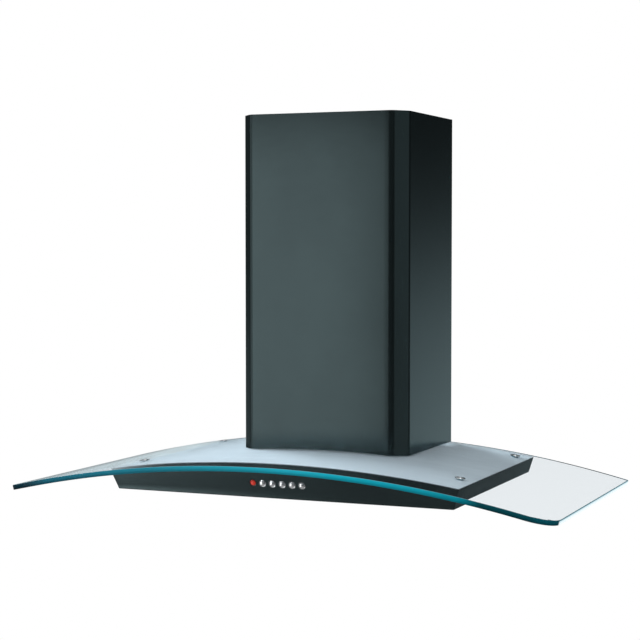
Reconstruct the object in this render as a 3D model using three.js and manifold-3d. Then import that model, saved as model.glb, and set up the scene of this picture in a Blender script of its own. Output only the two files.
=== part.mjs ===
// A wall-mounted range hood with a curved glass canopy, in millimetres.
// X runs along the wall to the right, Y runs into the wall and Z runs up.
// The origin is the centre of the wall rail's back face, so the wall is the plane y = 0
// and everything that shows from the room is at negative y.
import * as THREE from "three";
import { ConvexGeometry } from "three/addons/geometries/ConvexGeometry.js";
import { mergeVertices } from "three/addons/utils/BufferGeometryUtils.js";
import Module from "manifold-3d";

const wasm = await Module();
wasm.setup();

// ---------------------------------------------------------------- driving dimensions
const GAP = 0.3; // the least gap between two pieces that touch
const APEX_Z = 44; // the highest line of the glass, above the origin
const ARC_STEPS = 20; // flats on each half of the glass's arc
const SIDES = [[-1, "left"], [1, "right"]];

const GLASS = {
  width: 898,
  depth: 468,
  thickness: 8,
  radius: 1862, // of the upper face
  cornerRadius: 42,
  notchWidth: 236, // the cut-out that the blower box stands in
  notchDepth: 214,
  notchRadius: 12,
  holeRadius: 5,
};
const GLASS_SCREW = {
  x: 268,
  frontY: -330,
  rearY: -39,
  headRadius: 8.2,
  shankRadius: 3,
  length: 13,
  domeRadius: 5.3,
  domeBase: 2, // height of the dome's foot above the glass
  domeRise: 2,
  socketRadius: 1.5,
  socketFloor: 2.6,
};

const BODY = {
  bottomWidth: 559,
  rearY: -1, // of the side walls and the top plate
  panelY: -10, // of the back panel, which leaves room for the wall rail
  frontY: -394, // of the lower edge
  height: 57, // from the lower edge to the apex of the glass
  sideFlare: 0.34, // how far a side leans out for each mm of height
  frontLean: 0.3, // how far the front leans out for each mm of height
  sheet: 1,
  lip: 12,
};
const BOTTOM_Z = APEX_Z - BODY.height;

const PLATE = { gap: 0.5, thickness: 1, openingWidth: 196, openingDepth: 166 };

const FILTER = { x: 124, y: -165, width: 232, depth: 270, thickness: 9, bar: 14, gap: 2 };
const FILTER_BOSS = { halfWidth: 30, wall: 3 }; // the solid stretch of the frame that holds the catch
const FILTER_HOOK = { x: 70, width: 16, reach: 4, z0: 3, z1: 4.5 };
const FILTER_MESH = { z0: 2, z1: 7 };
const LATCH = {
  width: 36,
  length: 14.7,
  bottomZ: 0.8,
  topZ: 6.2,
  boltWidth: 11,
  boltReach: 1.5, // how far the bolt stands out of the frame's front
  pocketWidth: 48,
  pocketFront: 8, // from the frame's front edge
  pocketDepth: 26,
};
const LATCH_SPRING = { radius: 2, wire: 0.6, turns: 5, z: 3.5 };
const LAMP = {
  x: 190,
  y: -347,
  flangeRadius: 32,
  neckRadius: 27.5,
  neckTop: 6,
  lensRadius: 24.7,
  lensFloor: 0.6,
  canRadius: 26,
  canTop: 33,
};

const BUTTON = {
  pitch: 16.4,
  heightAboveEdge: 23.3,
  capRadius: 4.4,
  collarRadius: 5.7,
  collarBore: 4.8,
  proud: 3.6,
  travel: 3,
  stemRadius: 2,
  stemLength: 12,
  flangeRadius: 5.7,
  flange: 1,
  springSpace: 6, // from the flange to the switch block's floor
};
const BUTTON_SPRING = { radius: 3.1, wire: 0.5, turns: 4 };
const BUTTON_NAMES = ["off", "speed_1", "speed_2", "speed_3", "light"];
const GUIDE = { width: 104, height: 16, thickness: 1.5, proud: 0.8 };
const SWITCH_BOX = { width: 112, height: 20, depth: 28, wall: 3 };
const CONTROLS = BUTTON_NAMES.length + 1; // the lamp and the buttons

const CHIMNEY = {
  width: 288,
  depth: 235.3,
  foldWidth: 21, // the slanting corner, across the front
  foldDepth: 24.4, // and back along the side
  foldRadius: 7, // of the soft bends at its two edges
  foldShrink: 0.42, // the share of an inset that keeps the slanting face parallel
  sheet: 1,
  topZ: APEX_Z + 541,
  rearFlange: 15,
};
const UPPER = {
  clearance: 1.2,
  height: 500,
  topInset: 3,
  slots: 5,
  slotLength: 110,
  slotHeight: 7,
  firstSlot: 45, // from the section's top
};
const WALL_BRACKET = {
  topInset: 8,
  height: 30,
  sheet: 1.5,
  standOff: 6,
  earDepth: 46,
  holeX: 60,
  holeRadius: 3.2,
};

const BLOWER_BOX = {
  halfWidth: 105,
  frontY: -204,
  rearY: -24,
  topZ: 258,
  sheet: 1,
  flange: 7,
  flangeSheet: 1.2,
};
const SCROLL = {
  y: -122.5,
  z: 128,
  halfWidth: 52,
  wall: 2,
  tongueAngle: 20,
  endAngle: 270,
  tongueRadius: 68,
  endRadius: 88,
  mouthFrontY: -148.5,
  mouthRearY: -58,
  mouthHalfWidth: 47,
  neck: 5,
  inletRadius: 54,
};
const WHEEL = {
  innerRadius: 52,
  outerRadius: 62,
  halfWidth: 44,
  blades: 24,
  bladeTilt: 35,
  rimWidth: 2,
  discX: 6,
  hubRadius: 9,
  hubLength: 20,
};
const MOTOR = { radius: 40, leftX: -58, rightX: 2, seat: 6, shaftRadius: 4, shaftEndX: 30 };
const COLLAR = { y: -112, innerRadius: 73, outerRadius: 74.5, height: 52, beadZ: 41.5, stopWidth: 4 };
const DAMPER = {
  pinZ: 18,
  pinRadius: 1.5,
  pinHalf: 76,
  barrelRadius: 3.1,
  barrelHalf: 9,
  hinge: 3.8, // from the pin's axis to the edge of a flap's plate
  halfSheet: 0.6,
};
const TERMINAL_BOX = {
  y: -114,
  z: 170,
  width: 70,
  height: 90,
  depth: 24,
  wall: 2,
  coverSheet: 2,
  rimDepth: 3,
};
const TERMINAL_BLOCK = {
  depth: 14,
  halfWidth: 24,
  z0: -22,
  z1: -8,
  wells: 5,
  wellPitch: 9,
  wellRadius: 2.4,
};
const GLAND = { boreRadius: 4.2, sleeveRadius: 5.9, nutRadius: 9, length: 14 };
const CAPACITOR = { radius: 14, height: 48, z: 150 };
const RAIL = {
  width: 420,
  height: 16,
  sheet: 1.5,
  lipY: -7.6,
  holeRadius: 3.2,
  holeXs: [-180, -60, 60, 180],
};
const HOOK = { halfWidth: 150, topZ: 21, wallY: -3.5, drop: 10 }; // the body's hook that drops over the rail

// ---------------------------------------------------------------- materials
const metal = (color, roughness) => new THREE.MeshStandardMaterial({ color, roughness, metalness: 1 });
const plain = (color, roughness) => new THREE.MeshStandardMaterial({ color, roughness, metalness: 0 });
const blackSteel = plain(0x2e3839, 0.32);
const brushedSteel = metal(0xc4c9cb, 0.38);
const galvanised = metal(0xaab0b2, 0.5);
const aluminium = metal(0xbfc3c5, 0.42);
const chrome = metal(0xe2e4e6, 0.12);
const springSteel = metal(0x9ea2a5, 0.35);
const blackPlastic = plain(0x1b1d1e, 0.45);
const greyPlastic = plain(0x5b5f61, 0.5);
const palePlastic = plain(0xd6d3cb, 0.5);
const redLens = plain(0xc8322a, 0.2);
const canopyGlass = new THREE.MeshStandardMaterial({
  color: 0xbfe2e0,
  roughness: 0.03,
  metalness: 0,
  transparent: true,
  opacity: 0.3,
});
const frostedGlass = new THREE.MeshStandardMaterial({
  color: 0xeef2f0,
  roughness: 0.5,
  metalness: 0,
  transparent: true,
  opacity: 0.75,
});

// ---------------------------------------------------------------- solids
const degrees = THREE.MathUtils.degToRad;

// A closed three.js geometry as a solid that can be joined and cut.
function solid(geometry) {
  const loose = geometry.index ? geometry.toNonIndexed() : geometry;
  const bare = new THREE.BufferGeometry().setAttribute("position", loose.getAttribute("position"));
  const merged = mergeVertices(bare, 1e-4);
  const triangles = [];
  for (let i = 0; i < merged.index.count; i += 3) {
    const [a, b, c] = merged.index.array.slice(i, i + 3);
    if (a !== b && b !== c && c !== a) triangles.push([a, b, c]);
  }
  const build = (list) =>
    new wasm.Manifold(
      new wasm.Mesh({
        numProp: 3,
        vertProperties: merged.attributes.position.array,
        triVerts: new Uint32Array(list.flat()),
      }),
    );
  const made = build(triangles);
  return made.volume() > 0 ? made : build(triangles.map(([a, b, c]) => [a, c, b]));
}

const join = (...solids) => solids.reduce((whole, next) => whole.add(next));
const cut = (whole, ...tools) => tools.reduce((rest, tool) => rest.subtract(tool), whole);

function geometryOf(made) {
  const { vertProperties, triVerts } = made.getMesh();
  const indexed = new THREE.BufferGeometry();
  indexed.setAttribute("position", new THREE.BufferAttribute(vertProperties, 3));
  indexed.setIndex(new THREE.BufferAttribute(triVerts, 1));
  const faceted = indexed.toNonIndexed();
  faceted.computeVertexNormals();
  return faceted;
}

function boxGeometry(x0, x1, y0, y1, z0, z1) {
  const middle = [(x0 + x1) / 2, (y0 + y1) / 2, (z0 + z1) / 2];
  return new THREE.BoxGeometry(x1 - x0, y1 - y0, z1 - z0).translate(...middle);
}
const box = (...sides) => solid(boxGeometry(...sides));

const outline = (points) => new THREE.Shape(points.map(([u, v]) => new THREE.Vector2(u, v)));

// Extrusions of an outline: (x, y) along Z, (y, z) along X and (x, z) along Y.
const extruded = (shape, depth) =>
  new THREE.ExtrudeGeometry(shape, { depth, bevelEnabled: false, curveSegments: 8 });
const X_AXIS = new THREE.Vector3(1, 0, 0);
const Y_AXIS = new THREE.Vector3(0, 1, 0);
const Z_AXIS = new THREE.Vector3(0, 0, 1);
const Y_BACKWARDS = new THREE.Vector3(0, -1, 0);
const alongZ = (shape, z0, z1) => extruded(shape, z1 - z0).translate(0, 0, z0);
const alongX = (shape, x0, x1) =>
  extruded(shape, x1 - x0)
    .applyMatrix4(new THREE.Matrix4().makeBasis(Y_AXIS, Z_AXIS, X_AXIS))
    .translate(x0, 0, 0);
const alongY = (shape, y0, y1) =>
  extruded(shape, y1 - y0)
    .applyMatrix4(new THREE.Matrix4().makeBasis(X_AXIS, Z_AXIS, Y_BACKWARDS))
    .translate(0, y1, 0);

// Round bars along each axis, from one value to another, about a centre line.
const bar = (radius, length, sides) => new THREE.CylinderGeometry(radius, radius, length, sides);
const roundZ = (radius, z0, z1, x = 0, y = 0, sides = 24) =>
  bar(radius, z1 - z0, sides)
    .rotateX(Math.PI / 2)
    .translate(x, y, (z0 + z1) / 2);
const roundY = (radius, y0, y1, x = 0, z = 0, sides = 24) =>
  bar(radius, y1 - y0, sides).translate(x, (y0 + y1) / 2, z);
const roundX = (radius, x0, x1, y = 0, z = 0, sides = 24) =>
  bar(radius, x1 - x0, sides)
    .rotateZ(Math.PI / 2)
    .translate((x0 + x1) / 2, y, z);

// A turned piece about Z. The profile's points are [radius, height], on the axis at both ends or closed.
function turned(profile, sides = 24) {
  const points = profile.map(([radius, height]) => new THREE.Vector2(radius, height));
  return new THREE.LatheGeometry(points, sides).rotateX(Math.PI / 2);
}
const closed = (profile) => [...profile, profile[0]];

function roundedRectangle(x0, x1, y0, y1, radius) {
  const shape = new THREE.Shape();
  shape.absarc(x1 - radius, y1 - radius, radius, 0, Math.PI / 2);
  shape.absarc(x0 + radius, y1 - radius, radius, Math.PI / 2, Math.PI);
  shape.absarc(x0 + radius, y0 + radius, radius, Math.PI, 1.5 * Math.PI);
  shape.absarc(x1 - radius, y0 + radius, radius, 1.5 * Math.PI, 2 * Math.PI);
  return shape;
}

class Helix extends THREE.Curve {
  constructor(radius, turns, length) {
    super();
    Object.assign(this, { radius, turns, length });
  }
  getPoint(t) {
    const angle = 2 * Math.PI * this.turns * t;
    return new THREE.Vector3(this.radius * Math.cos(angle), this.radius * Math.sin(angle), this.length * t);
  }
}

// A compression spring along Z that starts at z = 0, of wire with five flats.
function spring({ radius, wire, turns }, length) {
  const corners = [0, 1, 2, 3, 4].map((i) => (2 * Math.PI * i) / 5);
  const section = outline(corners.map((a) => [(wire / 2) * Math.cos(a), (wire / 2) * Math.sin(a)]));
  return new THREE.ExtrudeGeometry(section, {
    steps: turns * 8,
    bevelEnabled: false,
    extrudePath: new Helix(radius, turns, length - wire),
  }).translate(0, 0, wire / 2);
}

// ---------------------------------------------------------------- the arc that the canopy follows
const ARC_CENTRE_Z = APEX_Z - GLASS.radius;
const GLASS_ANGLE = Math.asin(GLASS.width / 2 / GLASS.radius);
const arcZ = (x, radius = GLASS.radius) => ARC_CENTRE_Z + Math.sqrt(radius * radius - x * x);

// A strip that follows the glass's arc, between the outer radius and that radius less the thickness.
function arcBand(outer, thickness, y0, y1) {
  const arc = (radius) =>
    Array.from({ length: 2 * ARC_STEPS + 1 }, (_, i) => {
      const angle = GLASS_ANGLE * (i / ARC_STEPS - 1);
      return [radius * Math.sin(angle), ARC_CENTRE_Z + radius * Math.cos(angle)];
    });
  return solid(alongY(outline([...arc(outer), ...arc(outer - thickness).reverse()]), y0, y1));
}

const PLATE_RADIUS = GLASS.radius - GLASS.thickness - PLATE.gap; // the steel top plate's upper face
const SHELL_RADIUS = PLATE_RADIUS - PLATE.thickness - GAP; // the upper edges of the body's walls
const DEEP = 400; // more than any piece of the body is tall
const underArc = (radius) => arcBand(radius, DEEP, -GLASS.depth, 0);

// ---------------------------------------------------------------- the body's outline
const bodyHalfWidth = (z) => BODY.bottomWidth / 2 + BODY.sideFlare * (z - BOTTOM_Z);
const bodyFrontY = (z) => BODY.frontY - BODY.frontLean * (z - BOTTOM_Z);

// The space inside the body's flaring walls, drawn in by an inset, from z0 up to z1.
function bodySpace(inset, z0, z1, rearY) {
  const corners = [];
  for (const z of [z0, z1]) {
    for (const side of [-1, 1]) {
      for (const y of [bodyFrontY(z) + inset, rearY]) {
        corners.push(new THREE.Vector3(side * (bodyHalfWidth(z) - inset), y, z));
      }
    }
  }
  return solid(new ConvexGeometry(corners));
}

// ---------------------------------------------------------------- the scene graph
const hood = new THREE.Group();

function add(name, made, material, parent = hood) {
  const mesh = new THREE.Mesh(geometryOf(made), material);
  mesh.name = name;
  parent.add(mesh);
  return mesh;
}

function groupAt(x, y, z, parent = hood) {
  const group = new THREE.Group();
  group.position.set(x, y, z);
  parent.add(group);
  return group;
}

// Puts a solid's geometry, drawn in a group's own frame, into the hood's frame.
function inHood(geometry, group) {
  group.updateMatrix();
  return solid(geometry.applyMatrix4(group.matrix));
}

// ---------------------------------------------------------------- glass canopy and its screws
const screwPlaces = [];
for (const [side, sideName] of SIDES) {
  for (const [y, endName] of [[GLASS_SCREW.frontY, "front"], [GLASS_SCREW.rearY, "rear"]]) {
    const x = side * GLASS_SCREW.x;
    const group = groupAt(x, y, arcZ(x));
    group.rotation.y = Math.asin(x / GLASS.radius);
    screwPlaces.push({ group, name: `glass_screw_${endName}_${sideName}` });
  }
}
const screwHoles = (radius) =>
  screwPlaces.map(({ group }) => inHood(roundZ(radius, -GLASS_SCREW.length - 1, 1, 0, 0, 12), group));

function glassCanopy() {
  const { width, depth, thickness, radius, cornerRadius: r } = GLASS;
  const sheet = arcBand(radius, thickness, -depth, 0);
  const rounded = roundedRectangle(-width / 2, width / 2, -depth, 2 * r, r);
  const plan = solid(alongZ(rounded, BOTTOM_Z - DEEP, APEX_Z + DEEP));
  const half = GLASS.notchWidth / 2;
  const notch = roundedRectangle(-half, half, -GLASS.notchDepth, 2 * GLASS.notchRadius, GLASS.notchRadius);
  return cut(sheet.intersect(plan), solid(alongZ(notch, 0, 2 * APEX_Z)), ...screwHoles(GLASS.holeRadius));
}

// A domed cap screw: the head lies on the glass and the shank passes through it and the top plate.
function glassScrew() {
  const { headRadius: r, shankRadius: s, length, domeRadius, domeBase, domeRise } = GLASS_SCREW;
  const profile = [[0, -length], [s, -length], [s, GAP], [r, GAP], [r, 0.9], [r - 1.2, 1.6], [r - 2.4, 1.6]];
  for (let i = 0; i <= 3; i++) {
    const angle = degrees(30 * i);
    profile.push([domeRadius * Math.cos(angle), domeBase + domeRise * Math.sin(angle)]);
  }
  const socket = roundZ(GLASS_SCREW.socketRadius, GLASS_SCREW.socketFloor, domeBase + domeRise + 1, 0, 0, 6);
  return cut(solid(turned(profile, 16)), solid(socket));
}

add("glass_canopy", glassCanopy(), canopyGlass);
for (const { group, name } of screwPlaces) add(name, glassScrew(), chrome, group);

// ---------------------------------------------------------------- controls
const controlZ = BOTTOM_Z + BUTTON.heightAboveEdge;
const controls = groupAt(0, bodyFrontY(controlZ), controlZ);
controls.rotation.x = Math.atan(BODY.frontLean);
// In this group -Y points out of the front panel, whose outer face is y = 0.
const controlX = (index) => (index - (CONTROLS - 1) / 2) * BUTTON.pitch;
const guideY = BODY.sheet + GAP;
const flangeY = guideY + GUIDE.thickness + GAP;
const stemEndY = flangeY + BUTTON.stemLength;
const springY = flangeY + BUTTON.flange + GAP;
const switchFaceY = springY + BUTTON.springSpace;

function buttonGuide() {
  const [w, h] = [GUIDE.width / 2, GUIDE.height / 2];
  const strip = box(-w, w, guideY, guideY + GUIDE.thickness, -h, h);
  const rings = [];
  const bores = [];
  for (let i = 0; i < CONTROLS; i++) {
    rings.push(solid(roundY(BUTTON.collarRadius, -GUIDE.proud, guideY + 0.5, controlX(i), 0, 20)));
    bores.push(solid(roundY(BUTTON.collarBore, -2, flangeY, controlX(i), 0, 20)));
  }
  return cut(join(strip, ...rings), ...bores);
}

// A push button with a shallow dome, a flange behind the guide and a stem into the switch box.
function pushButton() {
  const { capRadius: r, proud, stemRadius: s, flangeRadius: f } = BUTTON;
  const backY = -flangeY - BUTTON.flange;
  const profile = [[0, proud], [r * 0.55, proud - 0.15], [r - 0.6, proud - 0.5], [r, proud - 1.1]];
  profile.push([r, -flangeY], [f, -flangeY], [f, backY], [s, backY], [s, -stemEndY], [0, -stemEndY]);
  return solid(turned(profile, 16).rotateX(Math.PI / 2));
}

function indicatorLamp() {
  const r = BUTTON.collarBore - GAP;
  const f = BUTTON.flangeRadius;
  const backY = -flangeY - BUTTON.flange;
  const stemEnd = 0.5 - switchFaceY;
  const profile = [[0, 2.6], [r * 0.6, 2.2], [r * 0.9, 1.2], [r, 0], [r, -flangeY], [f, -flangeY]];
  profile.push([f, backY], [3, backY], [3, stemEnd], [0, stemEnd]);
  return solid(turned(profile, 16).rotateX(Math.PI / 2));
}

function switchHousing() {
  const { wall, depth } = SWITCH_BOX;
  const half = SWITCH_BOX.width / 2;
  const tall = SWITCH_BOX.height / 2;
  const block = box(-half, half, flangeY, flangeY + depth, -tall, tall);
  const recess = box(-half + wall, half - wall, flangeY - 1, switchFaceY, -tall + wall, tall - wall);
  const boreEnd = stemEndY + BUTTON.travel + 1;
  const bores = BUTTON_NAMES.map((_, i) =>
    solid(roundY(BUTTON.stemRadius + 0.4, switchFaceY - 1, boreEnd, controlX(i + 1), 0, 10)),
  );
  return cut(block, recess, ...bores);
}

add("button_guide", buttonGuide(), chrome, controls);
add("switch_housing", switchHousing(), blackPlastic, controls);
add("indicator_lamp", indicatorLamp(), redLens, controls).position.x = controlX(0);
BUTTON_NAMES.forEach((label, i) => {
  add(`button_${label}`, pushButton(), chrome, controls).position.x = controlX(i + 1);
  const coil = solid(spring(BUTTON_SPRING, switchFaceY - springY - GAP).rotateX(-Math.PI / 2));
  add(`button_spring_${label}`, coil, springSteel, controls).position.set(controlX(i + 1), springY, 0);
});

// ---------------------------------------------------------------- steel body
function bodyShell() {
  const outer = bodySpace(0, BOTTOM_Z, APEX_Z, BODY.rearY);
  const inner = bodySpace(BODY.sheet, BOTTOM_Z + BODY.sheet, APEX_Z + 1, 1);
  const mouth = bodySpace(BODY.lip, BOTTOM_Z - 1, BOTTOM_Z + 2, 1);
  const rearSlot = bodySpace(BODY.sheet, BOTTOM_Z - 1, BOTTOM_Z + 2, 1).intersect(
    box(-DEEP, DEEP, BODY.panelY - BODY.sheet - GAP, 1, -DEEP, DEEP),
  );
  const holes = Array.from({ length: CONTROLS }, (_, i) =>
    inHood(roundY(BUTTON.collarRadius + GAP, -3, 3, controlX(i), 0, 16), controls),
  );
  return cut(outer.intersect(underArc(SHELL_RADIUS)), inner, mouth, rearSlot, ...holes);
}

function topPlate() {
  const sheet = arcBand(PLATE_RADIUS, PLATE.thickness, -GLASS.depth, BODY.rearY);
  const clip = bodySpace(0, BOTTOM_Z, APEX_Z, BODY.rearY);
  const half = PLATE.openingWidth / 2;
  const middleY = (BLOWER_BOX.frontY + BLOWER_BOX.rearY) / 2;
  const reach = PLATE.openingDepth / 2;
  const opening = box(-half, half, middleY - reach, middleY + reach, 0, APEX_Z);
  return cut(sheet.intersect(clip), opening, ...screwHoles(GLASS_SCREW.shankRadius + GAP));
}

// The back of the body, with a hook that hangs on the wall rail and a lip under the bottom plate.
function rearPanel() {
  const frontY = BODY.panelY - BODY.sheet;
  const inset = BODY.sheet + GAP;
  const behind = (y) => box(-DEEP, DEEP, y, 0, -DEEP, DEEP);
  const wall = bodySpace(inset, BOTTOM_Z, APEX_Z, BODY.panelY).intersect(behind(frontY));
  const lip = bodySpace(inset + BODY.lip, BOTTOM_Z, BOTTOM_Z + BODY.sheet, BODY.panelY).intersect(
    behind(frontY - BODY.lip),
  );
  const { halfWidth, topZ, wallY, drop } = HOOK;
  const hook = outline([
    [frontY + 0.2, topZ],
    [wallY, topZ],
    [wallY, topZ - drop],
    [wallY - BODY.sheet, topZ - drop],
    [wallY - BODY.sheet, topZ - BODY.sheet],
    [frontY + 0.2, topZ - BODY.sheet],
  ]);
  return join(wall.intersect(underArc(SHELL_RADIUS)), lip, solid(alongX(hook, -halfWidth, halfWidth)));
}

// The wall rail: a flat strip screwed to the wall, with a step and an upstand that the hook drops over.
function wallRail() {
  const half = RAIL.height / 2;
  const t = RAIL.sheet;
  const lipTop = HOOK.topZ - BODY.sheet - GAP;
  const section = outline([
    [0, -half],
    [0, half],
    [RAIL.lipY + t, half],
    [RAIL.lipY + t, lipTop],
    [RAIL.lipY, lipTop],
    [RAIL.lipY, half - t],
    [-t, half - t],
    [-t, -half],
  ]);
  const strip = solid(alongX(section, -RAIL.width / 2, RAIL.width / 2));
  const holes = RAIL.holeXs.map((x) => solid(roundY(RAIL.holeRadius, -2 * t, 1, x, -2, 12)));
  return cut(strip, ...holes);
}

function undersidePlate() {
  const z0 = BOTTOM_Z + BODY.sheet + GAP;
  const inset = BODY.sheet + GAP;
  const sheet = bodySpace(inset, z0, z0 + BODY.sheet, BODY.panelY - BODY.sheet - GAP);
  const w = FILTER.width / 2 + FILTER.gap;
  const d = FILTER.depth / 2 + FILTER.gap;
  const holes = SIDES.flatMap(([side]) => [
    box(side * FILTER.x - w, side * FILTER.x + w, FILTER.y - d, FILTER.y + d, z0 - 1, z0 + 2),
    solid(roundZ(LAMP.neckRadius + GAP, z0 - 1, z0 + 2, side * LAMP.x, LAMP.y, 32)),
  ]);
  return cut(sheet, ...holes);
}

add("body_shell", bodyShell(), blackSteel);
add("top_plate", topPlate(), brushedSteel);
add("rear_panel", rearPanel(), galvanised);
add("wall_rail", wallRail(), galvanised);
add("underside_plate", undersidePlate(), brushedSteel);

// ---------------------------------------------------------------- grease filters
// In a filter's own frame z = 0 is its lower face and y runs to the rear.
const filterFront = -FILTER.depth / 2;
const pocketFront = filterFront + LATCH.pocketFront;
const pocketRear = pocketFront + LATCH.pocketDepth;
const bossRear = pocketRear + FILTER_BOSS.wall;

function filterFrame() {
  const halfX = FILTER.width / 2;
  const halfY = FILTER.depth / 2;
  const { bar: rim, thickness } = FILTER;
  const frame = cut(
    box(-halfX, halfX, -halfY, halfY, 0, thickness),
    box(-halfX + rim, halfX - rim, -halfY + rim, halfY - rim, -1, thickness + 1),
  );
  const { halfWidth } = FILTER_BOSS;
  const boss = box(-halfWidth, halfWidth, -halfY + rim - 1, bossRear, 0, thickness);
  const halfPocket = LATCH.pocketWidth / 2;
  const pocket = box(-halfPocket, halfPocket, pocketFront, pocketRear, -1, LATCH.topZ + GAP);
  const halfBolt = LATCH.boltWidth / 2 + GAP;
  const boltSlot = box(-halfBolt, halfBolt, filterFront - 1, pocketFront + 1, 3, LATCH.topZ + GAP);
  const { x, width, reach, z0, z1 } = FILTER_HOOK;
  const hooks = [-x, x].map((at) => box(at - width / 2, at + width / 2, halfY - 1, halfY + reach, z0, z1));
  return join(cut(join(frame, boss), pocket, boltSlot), ...hooks);
}

function filterMesh() {
  const halfX = FILTER.width / 2 - FILTER.bar - GAP;
  const halfY = FILTER.depth / 2 - FILTER.bar - GAP;
  const notch = FILTER_BOSS.halfWidth + GAP;
  const slab = box(-halfX, halfX, -halfY, halfY, FILTER_MESH.z0, FILTER_MESH.z1);
  return cut(slab, box(-notch, notch, -halfY - 1, bossRear + GAP, 0, FILTER.thickness));
}

// A sliding catch with a finger recess in its lower face.
function filterLatch() {
  const { length, bottomZ, topZ, boltReach } = LATCH;
  const halfWidth = LATCH.width / 2;
  const front = pocketFront + GAP;
  const slider = box(-halfWidth, halfWidth, front, front + length, bottomZ, topZ);
  const halfBolt = LATCH.boltWidth / 2;
  const bolt = box(-halfBolt, halfBolt, filterFront - boltReach, front + 2, 3.4, topZ - 0.1);
  const recess = solid(alongZ(roundedRectangle(-13, 13, front + 4, front + 11, 3.4), 0, 3.4));
  return cut(join(slider, bolt), recess);
}

for (const [side, sideName] of SIDES) {
  const group = groupAt(side * FILTER.x, FILTER.y, BOTTOM_Z);
  add(`filter_frame_${sideName}`, filterFrame(), aluminium, group);
  add(`filter_mesh_${sideName}`, filterMesh(), aluminium, group);
  add(`filter_latch_${sideName}`, filterLatch(), blackPlastic, group);
  const springFront = pocketFront + GAP + LATCH.length + GAP;
  const coil = solid(spring(LATCH_SPRING, pocketRear - springFront - GAP).rotateX(-Math.PI / 2));
  add(`latch_spring_${sideName}`, coil, springSteel, group).position.set(0, springFront, LATCH_SPRING.z);
}

// ---------------------------------------------------------------- lamps
// In a lamp's own frame z = 0 is the body's lower edge.
function lampBezel() {
  const { flangeRadius: flange, neckRadius: neck, neckTop, lensRadius: lens, lensFloor } = LAMP;
  const profile = [[21.5, -0.7], [flange - 1, -0.7], [flange, 0.2], [flange, 1], [neck, 1], [neck, neckTop]];
  profile.push([lens + GAP, neckTop], [lens + GAP, lensFloor], [22.5, lensFloor]);
  return solid(turned(closed(profile), 24));
}

function lampLens() {
  const r = LAMP.lensRadius;
  const z = LAMP.lensFloor + GAP;
  return solid(turned([[0, z], [20, z], [r, z], [r, 3.6], [20, 3.9], [0, 4.2]], 24));
}

function lampHolder() {
  const { canRadius: r, canTop: top } = LAMP;
  const foot = LAMP.neckTop + GAP;
  const profile = [[r - 1, foot], [r, foot], [r, top - 6], [r - 6, top], [6, top]];
  profile.push([6, top - 8], [8, top - 8], [8, top - 1.2], [r - 6.5, top - 1.2], [r - 1, top - 6.5]);
  return solid(turned(closed(profile), 24));
}

function lampBulb() {
  const profile = [[0, 9], [2.5, 9.8], [4.6, 12], [4.9, 15], [4.9, 22], [4, 24], [4, 31], [0, 31]];
  return solid(turned(profile, 16));
}

for (const [side, sideName] of SIDES) {
  const group = groupAt(side * LAMP.x, LAMP.y, BOTTOM_Z);
  add(`lamp_bezel_${sideName}`, lampBezel(), chrome, group);
  add(`lamp_lens_${sideName}`, lampLens(), frostedGlass, group);
  add(`lamp_holder_${sideName}`, lampHolder(), galvanised, group);
  add(`lamp_bulb_${sideName}`, lampBulb(), frostedGlass, group);
}

// ---------------------------------------------------------------- blower box on the top plate
function blowerBox() {
  const { halfWidth: w, frontY, rearY, topZ, sheet, flange, flangeSheet } = BLOWER_BOX;
  const shell = cut(
    box(-w, w, frontY, rearY, 0, topZ),
    box(-w + sheet, w - sheet, frontY + sheet, rearY - sheet, -1, topZ - sheet),
  );
  const underside = PLATE_RADIUS + GAP;
  const foot = cut(
    arcBand(underside + flangeSheet, flangeSheet, frontY - flange, rearY + flange).intersect(
      box(-w - flange, w + flange, -DEEP, 0, 0, topZ),
    ),
    box(-w + sheet, w - sheet, frontY + sheet, rearY - sheet, 0, topZ),
  );
  const { mouthHalfWidth: m, mouthFrontY, mouthRearY } = SCROLL;
  const mouth = box(-m, m, mouthFrontY, mouthRearY + 1, topZ - 2, topZ + 1);
  return cut(join(cut(shell, underArc(underside)), foot), mouth);
}

// The scroll's outline in (y, z): a spiral that opens from the tongue round to the rear, then a neck.
function scrollOutline(inset) {
  const { tongueAngle, endAngle, tongueRadius, endRadius, mouthRearY, neck } = SCROLL;
  const steps = 20;
  const points = [];
  for (let i = 0; i <= steps; i++) {
    const share = i / steps;
    const angle = degrees(tongueAngle + (endAngle - tongueAngle) * share);
    const radius = tongueRadius + (endRadius - tongueRadius) * share + SCROLL.wall - inset;
    points.push([SCROLL.y - radius * Math.sin(angle), SCROLL.z + radius * Math.cos(angle)]);
  }
  const topZ = BLOWER_BOX.topZ - BLOWER_BOX.sheet - GAP + (inset ? neck : 0); // a hollow cuts right through
  const tongueY = points[0][0];
  return outline([...points, [mouthRearY + SCROLL.wall - inset, topZ], [tongueY, topZ]]);
}

// One half of the scroll, from its side wall to the joint in the middle.
function scrollHalf(side) {
  const span = (near, far) => (side < 0 ? [-far, -near] : [near, far]);
  const { halfWidth, wall, inletRadius } = SCROLL;
  const block = solid(alongX(scrollOutline(0), ...span(GAP / 2, halfWidth)));
  const hollow = solid(alongX(scrollOutline(wall), ...span(-1, halfWidth - wall)));
  const inlet = solid(roundX(inletRadius, ...span(halfWidth - 5, halfWidth + 5), SCROLL.y, SCROLL.z, 40));
  return cut(block, hollow, inlet);
}

add("blower_box", blowerBox(), galvanised);
add("blower_housing_left", scrollHalf(-1), blackPlastic);
add("blower_housing_right", scrollHalf(1), blackPlastic);

// ---------------------------------------------------------------- motor and fan wheel
// In this group the fan's axis is X.
const fan = groupAt(0, SCROLL.y, SCROLL.z);

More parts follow.
